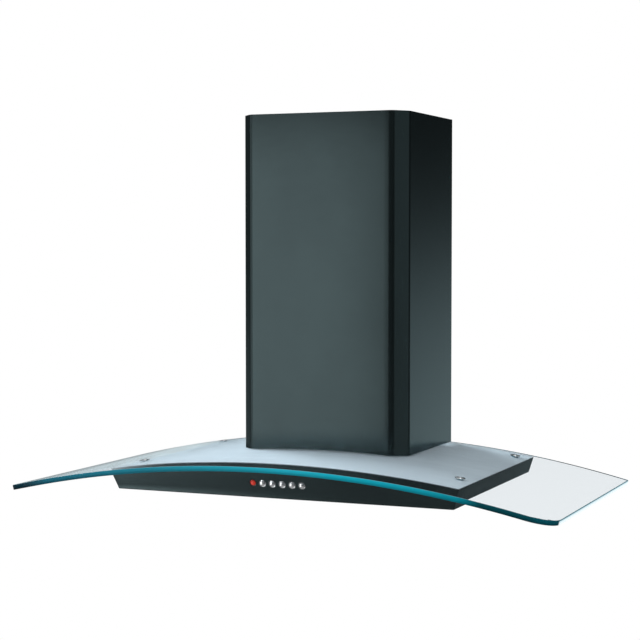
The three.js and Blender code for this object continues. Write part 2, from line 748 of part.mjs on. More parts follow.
function fanMotor() {
  const { radius: r, leftX, rightX, seat, shaftRadius } = MOTOR;
  const bore = shaftRadius + GAP;
  const flange = [[0, leftX], [r + 4, leftX], [r + 4, leftX + 1.7], [r, leftX + 1.7], [r, rightX - 6]];
  const nose = [[r - 6, rightX], [bore, rightX], [bore, leftX + seat], [0, leftX + seat]];
  return solid(turned([...flange, ...nose], 32).rotateY(Math.PI / 2));
}

function motorShaft() {
  const { shaftRadius, leftX, seat, shaftEndX } = MOTOR;
  return solid(roundX(shaftRadius, leftX + seat + GAP, shaftEndX, 0, 0, 16));
}

// A spider of two rings and three arms that carries the motor in the left inlet.
function motorMount() {
  const x0 = MOTOR.leftX + 2;
  const x1 = -SCROLL.halfWidth - GAP;
  const disc = (radius, reach) => solid(roundX(radius, x0 - reach, x1 + reach, 0, 0, 36));
  const ring = (outer, inner) => cut(disc(outer, 0), disc(inner, 1));
  const arms = [0, 120, 240].map((angle) => {
    const arm = boxGeometry(x0, x1, -5, 5, MOTOR.radius + 3, SCROLL.inletRadius + 5);
    return solid(arm.rotateX(degrees(angle)));
  });
  const inner = ring(MOTOR.radius + 5, MOTOR.radius + GAP);
  return join(ring(SCROLL.inletRadius + 9, SCROLL.inletRadius), inner, ...arms);
}

function fanWheel() {
  const { innerRadius, outerRadius, halfWidth, blades, rimWidth, discX, hubRadius, hubLength } = WHEEL;
  const ring = (x0, x1) =>
    cut(
      solid(roundX(outerRadius, x0, x1, 0, 0, blades)),
      solid(roundX(innerRadius - 1, x0 - 1, x1 + 1, 0, 0, blades)),
    );
  const disc = solid(roundX(outerRadius - 0.5, discX, discX + 2, 0, 0, blades));
  const hub = solid(roundX(hubRadius, discX, discX + hubLength));
  const pieces = [ring(-halfWidth, rimWidth - halfWidth), ring(halfWidth - rimWidth, halfWidth), hub];
  for (let i = 0; i < blades; i++) {
    const blade = boxGeometry(1 - halfWidth, halfWidth - 1, -0.6, 0.6, innerRadius - 0.5, outerRadius - 1);
    blade.translate(0, 0, -innerRadius).rotateX(degrees(WHEEL.bladeTilt)).translate(0, 0, innerRadius);
    pieces.push(solid(blade.rotateX((2 * Math.PI * i) / blades)));
  }
  const bore = solid(roundX(MOTOR.shaftRadius + GAP, discX - 1, discX + hubLength + 1, 0, 0, 16));
  return cut(join(disc, ...pieces), bore);
}

add("fan_motor", fanMotor(), galvanised, fan);
add("motor_mount", motorMount(), galvanised, fan);
add("motor_shaft", motorShaft(), springSteel, fan);
add("fan_wheel", fanWheel(), greyPlastic, fan);

// ---------------------------------------------------------------- outlet collar and non-return flaps
const collar = groupAt(0, COLLAR.y, BLOWER_BOX.topZ + GAP);

// The collar has a bead for the duct near its top and a ring inside that the closed flaps rest on.
function outletCollar() {
  const { innerRadius: ri, outerRadius: ro, height, beadZ, stopWidth } = COLLAR;
  const stopZ = DAMPER.pinZ - 1.2;
  const profile = [[ri, 0], [ri + 7, 0], [ri + 7, 1.5], [ro, 1.5], [ro, beadZ - 1.5], [ro + 1.2, beadZ]];
  profile.push([ro, beadZ + 1.5], [ro, height], [ri - 1, height], [ri - 1, height - 2], [ri, height - 2]);
  profile.push([ri, stopZ], [ri - stopWidth, stopZ], [ri - stopWidth, stopZ - 1.4], [ri, stopZ - 1.4]);
  const tube = solid(turned(closed(profile), 36));
  return cut(tube, solid(roundX(DAMPER.pinRadius + GAP, -2 * ro, 2 * ro, 0, DAMPER.pinZ, 8)));
}

// A half-round flap with two barrels on the pin; its plate lies in the plane of the pin.
function damperFlap(side, barrels) {
  const { pinRadius, barrelRadius, barrelHalf, hinge, halfSheet: t } = DAMPER;
  const radius = COLLAR.innerRadius - 1.8;
  const strip = (x0, x1, near, far, halfHeight) => {
    const [y0, y1] = side < 0 ? [-far, -near] : [near, far];
    return box(x0, x1, y0, y1, -halfHeight, halfHeight);
  };
  const disc = solid(roundZ(radius, -t, t, 0, 0, 36));
  const plate = disc.intersect(strip(-2 * radius, 2 * radius, hinge, 2 * radius, 2 * t));
  const knuckles = barrels.flatMap((x) => [
    solid(roundX(barrelRadius, x - barrelHalf, x + barrelHalf, 0, 0, 10)),
    strip(x - barrelHalf, x + barrelHalf, 1, hinge + 1, t),
  ]);
  return cut(join(plate, ...knuckles), solid(roundX(pinRadius + GAP + 0.1, -radius, radius, 0, 0, 8)));
}

const damperPin = solid(roundX(DAMPER.pinRadius, -DAMPER.pinHalf, DAMPER.pinHalf, 0, 0, 8));
add("outlet_collar", outletCollar(), blackPlastic, collar);
add("damper_pin", damperPin, springSteel, collar).position.z = DAMPER.pinZ;
add("damper_flap_front", damperFlap(-1, [-50, 15]), greyPlastic, collar).position.z = DAMPER.pinZ;
add("damper_flap_rear", damperFlap(1, [-15, 50]), greyPlastic, collar).position.z = DAMPER.pinZ;

// ---------------------------------------------------------------- electrical pieces on the blower box
// In this group x = 0 is the box's left wall and the terminal box stands out to negative x.
const electrics = groupAt(-BLOWER_BOX.halfWidth - GAP, TERMINAL_BOX.y, TERMINAL_BOX.z);
const glandX = -TERMINAL_BOX.depth / 2;

function terminalBox() {
  const { width, height, depth, wall } = TERMINAL_BOX;
  const [w, h] = [width / 2, height / 2];
  const tray = cut(
    box(-depth, 0, -w, w, -h, h),
    box(-depth - 1, -wall, -w + wall, w - wall, -h + wall, h - wall),
  );
  return cut(tray, solid(roundZ(GLAND.sleeveRadius + GAP, h - wall - 1, h + 1, glandX, 0)));
}

// A plate with a rim that reaches into the box.
function terminalCover() {
  const { width, height, depth, wall, coverSheet, rimDepth } = TERMINAL_BOX;
  const [w, h] = [width / 2, height / 2];
  const face = -depth - GAP;
  const outer = wall + GAP + 0.1;
  const inner = outer + 1.6;
  const plate = box(face - coverSheet, face, -w, w, -h, h);
  const rim = cut(
    box(face - 1, -depth + rimDepth, -w + outer, w - outer, -h + outer, h - outer),
    box(face, -depth + rimDepth + 1, -w + inner, w - inner, -h + inner, h - inner),
  );
  return join(plate, rim);
}

function terminalBlock() {
  const { depth, halfWidth: w, z0, z1, wells, wellPitch, wellRadius } = TERMINAL_BLOCK;
  const block = box(-depth, -TERMINAL_BOX.wall - GAP, -w, w, z0, z1);
  const bores = Array.from({ length: wells }, (_, i) => {
    const y = (i - (wells - 1) / 2) * wellPitch;
    return solid(roundX(wellRadius, -depth - 1, -8, y, (z0 + z1) / 2, 8));
  });
  return cut(block, ...bores);
}

// A flanged sleeve through the box's upper wall; the mains cable would enter through its bore.
function cableGland() {
  const { boreRadius: b, sleeveRadius: s, nutRadius: n, length } = GLAND;
  const h = TERMINAL_BOX.height / 2;
  const profile = [[b, h - 8], [s, h - 8], [s, h + GAP], [n, h + GAP], [n, h + 5], [n - 1.4, h + 6]];
  profile.push([n - 2, h + length], [b, h + length]);
  return solid(turned(closed(profile), 16).translate(glandX, 0, 0));
}

// A round can with two contacts and the strap that holds it on the blower box.
function motorCapacitor() {
  const { radius: r, height } = CAPACITOR;
  const can = solid(turned([[0, 0], [r - 1, 0], [r, 1], [r, height - 1], [r - 1, height], [0, height]], 16));
  const tabs = [-4, 4].map((y) => box(-3, 3, y - 0.5, y + 0.5, height - 1, height + 8));
  const strap = box(-r - 1, -r + 5, -10, 10, 18, 30);
  return join(can, ...tabs, strap);
}

add("terminal_box", terminalBox(), blackPlastic, electrics);
add("terminal_cover", terminalCover(), blackPlastic, electrics);
add("terminal_block", terminalBlock(), palePlastic, electrics);
add("cable_gland", cableGland(), greyPlastic, electrics);
const capacitorX = BLOWER_BOX.halfWidth + GAP + CAPACITOR.radius + 1;
add("motor_capacitor", motorCapacitor(), palePlastic).position.set(capacitorX, TERMINAL_BOX.y, CAPACITOR.z);

// ---------------------------------------------------------------- chimney
// A soft bend in a line, from its leg towards one point to its leg towards another.
function softBend(before, corner, after, radius) {
  const [a, c, b] = [before, corner, after].map(([x, y]) => new THREE.Vector2(x, y));
  const ways = [a, b].map((point) => point.clone().sub(c).normalize());
  const reach = radius * Math.tan((Math.PI - ways[0].angleTo(ways[1])) / 2);
  const [start, end] = ways.map((way) => c.clone().addScaledVector(way, reach));
  return new THREE.QuadraticBezierCurve(start, c, end).getPoints(4).map(({ x, y }) => [x, y]);
}

// The right half of the chimney's outline, from the front round to the wall: a slanting corner
// between two soft bends. The depth is how far the line lies inside the outer face.
function chimneyLine(depth, radius) {
  const w = CHIMNEY.width / 2 - depth;
  const front = depth - CHIMNEY.depth;
  const shrink = depth * CHIMNEY.foldShrink;
  const frontFold = [w - CHIMNEY.foldWidth + shrink, front];
  const sideFold = [w, front + CHIMNEY.foldDepth - shrink];
  return [
    ...softBend([0, front], frontFold, sideFold, radius),
    ...softBend(frontFold, sideFold, [w, 0], radius),
  ];
}

// A channel that is open to the wall, with a flange along each rear edge.
function chimneySection(inset, flange) {
  const t = CHIMNEY.sheet;
  const w = CHIMNEY.width / 2 - inset;
  const outer = chimneyLine(inset, CHIMNEY.foldRadius);
  outer.push([w, -inset], [w - flange, -inset]);
  const inner = chimneyLine(inset + t, CHIMNEY.foldRadius - t);
  inner.push([w - t, -inset - t], [w - flange, -inset - t]);
  const right = [...outer, ...inner.reverse()];
  const left = right.map(([x, y]) => [-x, y]).reverse();
  return outline([...right, ...left]);
}

function chimneyLower() {
  const channel = solid(alongZ(chimneySection(0, CHIMNEY.rearFlange), 0, CHIMNEY.topZ));
  return cut(channel, arcBand(GLASS.radius + GAP, DEEP, -GLASS.depth, 1));
}

const upperTopZ = CHIMNEY.topZ - UPPER.topInset;
function chimneyUpper() {
  const inset = CHIMNEY.sheet + UPPER.clearance;
  const section = chimneySection(inset, CHIMNEY.rearFlange - inset);
  const channel = solid(alongZ(section, upperTopZ - UPPER.height, upperTopZ));
  const middleY = -CHIMNEY.depth / 2;
  const reach = UPPER.slotLength / 2;
  const slots = Array.from({ length: UPPER.slots }, (_, i) => {
    const z = upperTopZ - UPPER.firstSlot - 2 * UPPER.slotHeight * i;
    return box(-DEEP, DEEP, middleY - reach, middleY + reach, z - UPPER.slotHeight, z);
  });
  return cut(channel, ...slots);
}

// The bracket that is screwed to the wall under the ceiling and holds the upper chimney.
function chimneyBracket() {
  const { topInset, height, sheet: t, standOff, earDepth, holeX, holeRadius } = WALL_BRACKET;
  const w = CHIMNEY.width / 2 - CHIMNEY.sheet - UPPER.clearance - CHIMNEY.sheet - GAP;
  const inside = w - CHIMNEY.rearFlange + 2 - GAP; // clear of the chimney's rear flanges
  const z1 = upperTopZ - topInset;
  const z0 = z1 - height;
  const strap = box(-inside, inside, -t, 0, z0, z1);
  const onBothSides = (near, far, y0, y1) => [
    box(near, far, y0, y1, z0, z1),
    box(-far, -near, y0, y1, z0, z1),
  ];
  const legs = onBothSides(inside - t, inside, -standOff, 0);
  const shelves = onBothSides(inside - t, w, -standOff, t - standOff);
  const ears = onBothSides(w - t, w, -earDepth, t - standOff);
  const holes = [-holeX, holeX].map((x) => solid(roundY(holeRadius, -2 * t, 1, x, (z0 + z1) / 2, 12)));
  return cut(join(strap, ...legs, ...shelves, ...ears), ...holes);
}

add("chimney_lower", chimneyLower(), blackSteel);
add("chimney_upper", chimneyUpper(), blackSteel);
add("chimney_bracket", chimneyBracket(), galvanised);

export default hood;
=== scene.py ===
import math

import bmesh
import bpy
from mathutils import Matrix, Vector
from mathutils.geometry import tessellate_polygon


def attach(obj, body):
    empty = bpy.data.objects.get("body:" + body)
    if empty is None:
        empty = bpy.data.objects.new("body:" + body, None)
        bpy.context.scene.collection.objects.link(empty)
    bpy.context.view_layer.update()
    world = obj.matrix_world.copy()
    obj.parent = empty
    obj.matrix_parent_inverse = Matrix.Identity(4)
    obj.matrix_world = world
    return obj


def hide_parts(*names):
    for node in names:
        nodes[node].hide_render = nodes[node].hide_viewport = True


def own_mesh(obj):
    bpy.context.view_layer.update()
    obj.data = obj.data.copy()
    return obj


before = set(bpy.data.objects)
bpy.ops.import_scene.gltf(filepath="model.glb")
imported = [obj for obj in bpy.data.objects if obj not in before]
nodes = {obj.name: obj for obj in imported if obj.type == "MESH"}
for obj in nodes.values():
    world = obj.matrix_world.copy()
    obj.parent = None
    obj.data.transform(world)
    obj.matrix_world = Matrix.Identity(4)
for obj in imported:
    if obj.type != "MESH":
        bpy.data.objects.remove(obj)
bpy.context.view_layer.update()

MM = 0.001

# -------------------------------- the drawing's numbers
GAP = 0.3  # clearance between parts that fit together
SHEET = 1.0  # steel of the plate, the body and the chimney
APEX_Z = 44.0
GLASS_RADIUS, GLASS_THICK = 1862.0, 8.0
ARC_Z = APEX_Z - GLASS_RADIUS  # height of the arc's centre line
GLASS_HALF, GLASS_DEPTH, GLASS_CORNER = 449.0, 468.0, 42.0
NOTCH_HALF, NOTCH_DEPTH, NOTCH_CORNER = 118.0, 214.0, 12.0
GLASS_SEAT = 0.5  # space between the glass and the plate
PLATE_RADIUS = GLASS_RADIUS - GLASS_THICK - GLASS_SEAT
SHELL_RADIUS = PLATE_RADIUS - SHEET - GAP
OPENING_HALF, OPENING_FRONT, OPENING_REAR = 98, -197, -31
BOTTOM_Z = -13.0
BODY_HALF, BODY_REAR, BODY_FRONT = 279.5, -1.0, -394.0
FLARE, LEAN = 0.34, 0.30
SCREW_X, SCREW_YS = 268.0, {"front": -330.0, "rear": -39.0}
GLASS_HOLE, PLATE_HOLE = 5.0, 3.3
CHIMNEY_HALF, CHIMNEY_FRONT, CHIMNEY_TOP = 144.0, -235.3, 585.0
FOLD_WIDTH, FOLD_DEPTH, FOLD_RADIUS, REAR_FLANGE = 21.0, 24.4, 13.0, 15.0
SLIDE_INSET, SLIDE_LENGTH = 2.2, 500  # the upper chimney inside the lower one
VENT_COUNT, VENT_HALF, VENT_HEIGHT, VENT_PITCH, VENT_DROP = 5, 55, 7, 14, 45
CONTROL_RISE, CONTROL_PITCH, CONTROL_HOLE = 23.3, 16.4, 6.0
BUTTONS = ["off", "speed_1", "speed_2", "speed_3", "light"]
CONTROL_COUNT = 1 + len(BUTTONS)  # the lamp, then the buttons
SIDES = {"left": -1, "right": 1}
BEND_STEPS = (22.5, 45, 67.5)  # degrees along a quarter turn, between its ends


def arc_z(x, radius=GLASS_RADIUS):
    return ARC_Z + math.sqrt(radius * radius - x * x)


def body_half(z):
    return BODY_HALF + FLARE * (z - BOTTOM_Z)


def body_front(z):
    return BODY_FRONT - LEAN * (z - BOTTOM_Z)


# -------------------------------- materials
def feed(tree, socket, source):
    """Links a socket to another node's output, or sets it to a plain value."""
    if isinstance(source, bpy.types.NodeSocket):
        tree.links.new(source, socket)
    else:
        socket.default_value = source


def added(tree, kind, **inputs):
    """A new node with these inputs, named with _ for a space."""
    node = tree.nodes.new("ShaderNode" + kind)
    for name, source in inputs.items():
        feed(tree, node.inputs[name.replace("_", " ")], source)
    return node


def noise(tree, coordinates, scale, stretch=(1, 1, 1), detail=3.0, roughness=0.5):
    stretched = added(tree, "Mapping", Vector=coordinates, Scale=stretch).outputs["Vector"]
    grains = added(tree, "TexNoise", Vector=stretched, Scale=scale, Detail=detail, Roughness=roughness)
    return grains.outputs["Fac"]


def ranged(tree, value, low, high, start=0.3, end=0.7):
    """The value's way from start to end, as a way from low to high."""
    node = added(tree, "MapRange", Value=value, From_Min=start, From_Max=end, To_Min=low, To_Max=high)
    return node.outputs["Result"]


def maths(tree, operation, *sources, vectors=False, output="Value"):
    node = tree.nodes.new("ShaderNodeVectorMath" if vectors else "ShaderNodeMath")
    node.operation = operation
    for socket, source in zip(node.inputs, sources):
        feed(tree, socket, source)
    return node.outputs[output]


def mixed(tree, factor, first, second):
    """Two colours mixed."""
    node = tree.nodes.new("ShaderNodeMix")
    node.data_type = "RGBA"
    for name, source in (("Factor", factor), ("A", first), ("B", second)):
        feed(tree, node.inputs[name], source)
    return node.outputs["Result"]


def blended(tree, factor, first, second):
    """Two shaders mixed."""
    node = tree.nodes.new("ShaderNodeMixShader")
    for socket, source in zip(node.inputs, (factor, first, second)):
        feed(tree, socket, source)
    return node.outputs[0]


def ramp(tree, value, stops):
    """A colour read off a row of (position, colour) stops."""
    node = added(tree, "ValToRGB", Fac=value)
    elements = node.color_ramp.elements
    while len(elements) < len(stops):
        elements.new(0.5)
    for element, (position, colour) in zip(elements, stops):
        element.position = position
        element.color = (*colour, 1)
    return node.outputs["Color"]


def greys(*stops):
    return [(position, (level,) * 3) for position, level in stops]


def own_nodes(holder, output_kind):
    """The holder's node tree, emptied, and its new output node."""
    holder.use_nodes = True
    tree = holder.node_tree
    tree.nodes.clear()
    return tree, tree.nodes.new(output_kind)


def surface(name, roughness, tones, grain, cloud, bump=None, metal=0.0, **inputs):
    """A finish whose colour drifts between two tones, and whose roughness and relief follow its own grain.
    A bump is (strength, distance)."""
    material = bpy.data.materials.new(name)
    material.use_nodes = True
    tree = material.node_tree
    shader = tree.nodes["Principled BSDF"]
    coordinates = tree.nodes.new("ShaderNodeTexCoord").outputs["Object"]
    fine, wide = noise(tree, coordinates, **grain), noise(tree, coordinates, **cloud)
    feed(tree, shader.inputs["Metallic"], metal)
    feed(tree, shader.inputs["Base Color"], ramp(tree, wide, [(0.3, tones[0]), (0.7, tones[1])]))
    feed(tree, shader.inputs["Roughness"], ranged(tree, fine, *roughness))
    if bump:
        relief = added(tree, "Bump", Strength=bump[0], Distance=bump[1], Height=fine)
        feed(tree, shader.inputs["Normal"], relief.outputs["Normal"])
    for socket, value in inputs.items():
        feed(tree, shader.inputs[socket.replace("_", " ")], value)
    return material


black_steel = surface(
    "black_satin_steel",
    roughness=(0.17, 0.22),
    tones=[(0.028, 0.041, 0.043), (0.032, 0.047, 0.049)],
    grain=dict(scale=700, stretch=(0.06, 1, 1), detail=2.0),
    cloud=dict(scale=9, stretch=(1, 1, 0.6)),
    bump=(0.015, 0.00001),
    metal=0.8,
    Specular_IOR_Level=0.4,
    Specular_Tint=(0.82, 0.96, 0.99, 1.0),
)
brushed_steel = surface(
    "brushed_stainless_steel",
    roughness=(0.42, 0.56),
    tones=[(0.78, 0.80, 0.82), (0.86, 0.88, 0.90)],
    grain=dict(scale=900, stretch=(0.012, 1, 1), detail=4.0, roughness=0.6),
    cloud=dict(scale=30, stretch=(0.1, 1, 1)),
    bump=(0.08, 0.00002),
    metal=0.3,
)
raw_edge = surface(
    "cut_steel_edge",
    roughness=(0.3, 0.45),
    tones=[(0.16, 0.17, 0.18), (0.24, 0.25, 0.26)],
    grain=dict(scale=1500, stretch=(1, 1, 0.1)),
    cloud=dict(scale=60),
    metal=1.0,
)
aluminium = surface(
    "filter_aluminium",
    roughness=(0.26, 0.46),
    tones=[(0.58, 0.59, 0.6), (0.74, 0.75, 0.76)],
    grain=dict(scale=500, stretch=(0.2, 1, 1)),
    cloud=dict(scale=22),
    bump=(0.1, 0.00004),
    metal=1.0,
)
chrome = surface(
    "bright_chrome",
    roughness=(0.05, 0.13),
    tones=[(0.80, 0.81, 0.83), (0.88, 0.89, 0.9)],
    grain=dict(scale=1800, detail=2.0),
    cloud=dict(scale=120),
    metal=1.0,
)
spring_steel = surface(
    "drawn_spring_steel",
    roughness=(0.22, 0.38),
    tones=[(0.34, 0.34, 0.35), (0.5, 0.5, 0.51)],
    grain=dict(scale=2600, stretch=(1, 1, 0.2)),
    cloud=dict(scale=300),
    metal=1.0,
)
black_plastic = surface(
    "black_moulded_plastic",
    roughness=(0.38, 0.52),
    tones=[(0.010, 0.011, 0.012), (0.016, 0.017, 0.018)],
    grain=dict(scale=2400, detail=2.0),
    cloud=dict(scale=40),
    bump=(0.25, 0.00005),
)
grey_plastic = surface(
    "grey_moulded_plastic",
    roughness=(0.4, 0.55),
    tones=[(0.09, 0.095, 0.1), (0.125, 0.13, 0.135)],
    grain=dict(scale=2000, detail=2.0),
    cloud=dict(scale=35),
    bump=(0.25, 0.00005),
)
pale_plastic = surface(
    "pale_moulded_plastic",
    roughness=(0.36, 0.5),
    tones=[(0.60, 0.57, 0.50), (0.70, 0.67, 0.60)],
    grain=dict(scale=1600, detail=2.0),
    cloud=dict(scale=50),
    bump=(0.2, 0.00004),
)
lamp_glass = surface(
    "frosted_lamp_glass",
    roughness=(0.32, 0.5),
    tones=[(0.84, 0.87, 0.86), (0.93, 0.95, 0.94)],
    grain=dict(scale=900, detail=4.0),
    cloud=dict(scale=60),
    bump=(0.35, 0.00008),
    Transmission_Weight=0.55,
)
bulb_glass = surface(
    "clear_bulb_glass",
    roughness=(0.02, 0.08),
    tones=[(0.93, 0.95, 0.95), (0.98, 0.99, 0.99)],
    grain=dict(scale=400),
    cloud=dict(scale=60),
    Transmission_Weight=0.9,
)
red_lens = surface(
    "lit_red_lens",
    roughness=(0.1, 0.2),
    tones=[(0.62, 0.035, 0.022), (0.78, 0.06, 0.04)],
    grain=dict(scale=900),
    cloud=dict(scale=350),
    Transmission_Weight=0.25,
    Emission_Color=(0.9, 0.09, 0.05, 1.0),
    Emission_Strength=0.12,
)


def galvanised_material():
    """Zinc-coated sheet: large crystals, each with its own tone and gloss, under a fine haze."""
    material = surface(
        "galvanised_sheet",
        roughness=(0.34, 0.5),
        tones=[(0.50, 0.52, 0.53), (0.58, 0.6, 0.61)],
        grain=dict(scale=260, detail=2.0),
        cloud=dict(scale=25),
        metal=1.0,
    )
    tree = material.node_tree
    shader = tree.nodes["Principled BSDF"]
    coordinates = tree.nodes["Texture Coordinate"].outputs["Object"]
    crystals = added(tree, "TexVoronoi", Vector=coordinates, Scale=110)
    tone = added(tree, "SeparateColor", Color=crystals.outputs["Color"]).outputs
    spangle = ramp(tree, tone["Red"], [(0.0, (0.49, 0.51, 0.52)), (1.0, (0.62, 0.64, 0.65))])
    feed(tree, shader.inputs["Base Color"], spangle)
    feed(tree, shader.inputs["Roughness"], ranged(tree, tone["Green"], 0.36, 0.5, 0.0, 1.0))
    return material


galvanised = galvanised_material()


# the glass's index of refraction, and the strength of the painted glow on its right end face
GLASS_IOR, PAINTED_END_GLOW = 1.52, 0.75


def glass_material():
    """Clear float glass that drinks red and mirrors a little, more the flatter it is looked across.
    Light from the lamps passes through it to what lies behind."""
    material = bpy.data.materials.new("teal_float_glass")
    tree, out = own_nodes(material, "ShaderNodeOutputMaterial")
    haze = noise(tree, tree.nodes.new("ShaderNodeTexCoord").outputs["Object"], scale=35, detail=4.0)
    gloss = ranged(tree, haze, 0.01, 0.04)
    share = added(tree, "Fresnel", IOR=GLASS_IOR).outputs["Fac"]
    steps = greys((0.04, 0.03), (0.6, 0.1), (0.68, 0.15), (0.75, 0.4), (0.8, 0.6), (0.88, 0.78))
    bends = added(tree, "BsdfRefraction", Color=(1, 1, 1, 1), IOR=GLASS_IOR, Roughness=0.0)
    mirrors = added(tree, "BsdfGlossy", Color=(0.93, 0.98, 1.0, 1), Roughness=gloss)
    seen = blended(tree, ramp(tree, share, steps), bends.outputs[0], mirrors.outputs[0])
    clear = added(tree, "BsdfTransparent", Color=(0.93, 0.97, 0.99, 1))
    shadow_ray = tree.nodes.new("ShaderNodeLightPath").outputs["Is Shadow Ray"]
    feed(tree, out.inputs["Surface"], blended(tree, shadow_ray, seen, clear.outputs[0]))
    inside = added(tree, "VolumeAbsorption", Color=(0.0, 0.5, 0.8, 1), Density=9.0)
    feed(tree, out.inputs["Volume"], inside.outputs["Volume"])
    return material


def glass_edge_material():
    """The polished edge: the sheet's own teal, with painted light on it. It is painted brightest along the
    middle, where the steel top lies below, deepest towards the two ends, and lighter under the upper arris
    than lower down.
    The right end face is painted pale lower down and given a painted glow."""
    material = surface(
        "polished_glass_edge_painted_light",
        roughness=(0.05, 0.12),
        tones=[(0.01, 0.2, 0.26), (0.012, 0.22, 0.29)],
        grain=dict(scale=500),
        cloud=dict(scale=20),
        Specular_IOR_Level=0.05,
    )
    tree = material.node_tree
    shader = tree.nodes["Principled BSDF"]
    coordinates = tree.nodes["Texture Coordinate"].outputs["Object"]
    split = added(tree, "SeparateXYZ", Vector=coordinates).outputs
    half = GLASS_HALF * MM
    along = ranged(tree, split["X"], 0.0, 1.0, -half, half)
    # painted light along the edge: dark at the two ends, brightest along the middle where the steel top lies
    # below
    stops = [  # from the left end to the right one
        (0.0, (0.003, 0.014, 0.022)),
        (0.05, (0.003, 0.026, 0.04)),
        (0.09, (0.004, 0.097, 0.145)),
        (0.3, (0.009, 0.182, 0.254)),
        (0.4, (0.007, 0.254, 0.339)),
        (0.54, (0.007, 0.339, 0.448)),
        (0.62, (0.008, 0.363, 0.472)),
        (0.78, (0.008, 0.315, 0.411)),
        (0.84, (0.004, 0.242, 0.315)),
        (0.88, (0.003, 0.055, 0.069)),
        (0.96, (0.003, 0.061, 0.079)),
        (0.985, (0.004, 0.121, 0.164)),
        (1.0, (0.004, 0.133, 0.182)),
    ]
    teal = ramp(tree, along, stops)

    # how far below the upper face a point lies, from its distance to the arc's centre line
    up = maths(tree, "SUBTRACT", split["Z"], ARC_Z * MM)
    across = added(tree, "CombineXYZ", X=split["X"], Z=up).outputs["Vector"]
    reach = maths(tree, "LENGTH", across, vectors=True)
    depth = ranged(tree, reach, 1.0, 0.0, (GLASS_RADIUS - GLASS_THICK) * MM, GLASS_RADIUS * MM)
    # painted light: the edge is made lighter towards its upper face and darker towards its lower one
    painted_top_light = ramp(tree, depth, greys((0.0, 1.25), (0.4, 1.1), (0.7, 0.75), (1.0, 0.55)))
    front = maths(tree, "MULTIPLY", teal, painted_top_light, vectors=True, output="Vector")
    # painted light on the right end face: dark teal at the top, painted pale lower down, and a painted glow
    # from it
    painted_end_stops = [(0.1, (0.01, 0.12, 0.16)), (0.3, (0.6, 0.78, 0.84)), (0.6, (0.86, 0.94, 0.97))]
    painted_end_light = ramp(tree, depth, painted_end_stops)
    painted_end_glow = maths(tree, "MULTIPLY", painted_end_light, (PAINTED_END_GLOW,) * 3, vectors=True, output="Vector")

    # the end face, told by its slope from the arc's centre line, which is the same all down the face
    slope = maths(tree, "DIVIDE", split["X"], reach)
    begins, ends = ((GLASS_HALF - before) / GLASS_RADIUS for before in (1.2, 0.4))
    at_end = ranged(tree, slope, 0.0, 1.0, begins, ends)
    # the right end face takes the painted pale colour, and the painted glow as emission
    feed(tree, shader.inputs["Base Color"], mixed(tree, at_end, front, painted_end_light))
    feed(tree, shader.inputs["Emission Color"], mixed(tree, at_end, (0, 0, 0, 1), painted_end_glow))
    feed(tree, shader.inputs["Emission Strength"], 1.0)
    return material


canopy_glass = glass_material()
polished_edge_painted_light = glass_edge_material()
# The upper arris: ground glass, frosted and paler than the polished edge. Its light tone is also a painted
# highlight line along the top of the edge.
ground_arris_and_highlight = surface(
    "ground_glass_arris_and_painted_highlight",
    roughness=(0.35, 0.5),
    tones=[(0.10, 0.24, 0.28), (0.13, 0.28, 0.33)],
    grain=dict(scale=1500),
    cloud=dict(scale=90),
)

FINISH = {
    "canopy_glass": canopy_glass,
    "black_steel": black_steel,
    "brushed_steel": brushed_steel,
    "galvanised_steel": galvanised,
    "filter_aluminium": aluminium,
    "chrome": chrome,
    "spring_steel": spring_steel,
    "black_plastic": black_plastic,
    "grey_plastic": grey_plastic,
    "pale_plastic": pale_plastic,
    "red_lens": red_lens,
    "lamp_glass": lamp_glass,
}


# -------------------------------- making pieces
SMOOTH_BELOW, EASE_ABOVE = 32.0, 34.0  # degrees between faces
WELD = 2e-6  # metres within which a CAD solid's corners are the same
FLAT_BELOW = 0.4  # degrees between CAD faces that are one


def place(obj, body="hood", replaces=()):
    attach(obj, body)
    if replaces:
        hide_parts(*replaces)
    return obj


def soften(obj, angle=SMOOTH_BELOW):
    """Smooth shading that breaks at edges sharper than the angle."""
    mesh = obj.data
    mesh.shade_smooth()
    mesh.set_sharp_from_angle(angle=math.radians(angle))
    return obj


def piece(name, bm, slot, body="hood", replaces=(), materials=None, angle=SMOOTH_BELOW, matrix=None):
    """A mesh drawn in millimetres, as an object in metres that rides on a body."""
    if matrix is not None:
        transformed(bm, matrix)
    bmesh.ops.scale(bm, vec=(MM, MM, MM), verts=bm.verts)
    bmesh.ops.recalc_face_normals(bm, faces=bm.faces)
    mesh = bpy.data.meshes.new(name)
    bm.to_mesh(mesh)
    bm.free()
    for material in materials or [FINISH[slot]]:
        mesh.materials.append(material)
    obj = bpy.data.objects.new(name, mesh)
    bpy.context.scene.collection.objects.link(obj)
    soften(obj, angle)
    return place(obj, body, replaces)


def lathe(profile, sides=48, closed=False):
    """A turned solid about Z. Points are (radius, height), on the axis at both ends or a closed ring."""
    bm = bmesh.new()
    rings = []
    for radius, height in profile:
        if radius < 1e-6:
            rings.append([bm.verts.new((0, 0, height))])
        else:
            turn = [2 * math.pi * i / sides for i in range(sides)]
            rings.append([bm.verts.new((radius * math.cos(a), radius * math.sin(a), height)) for a in turn])
    pairs = list(zip(rings, rings[1:])) + ([(rings[-1], rings[0])] if closed else [])
    for lower, upper in pairs:
        for i in range(sides):
            j = (i + 1) % sides
            ring = [lower[k % len(lower)] for k in (i, j)] + [upper[k % len(upper)] for k in (j, i)]
            ring = [v for k, v in enumerate(ring) if v not in ring[:k]]
            if len(ring) > 2:
                bm.faces.new(ring)
    return bm


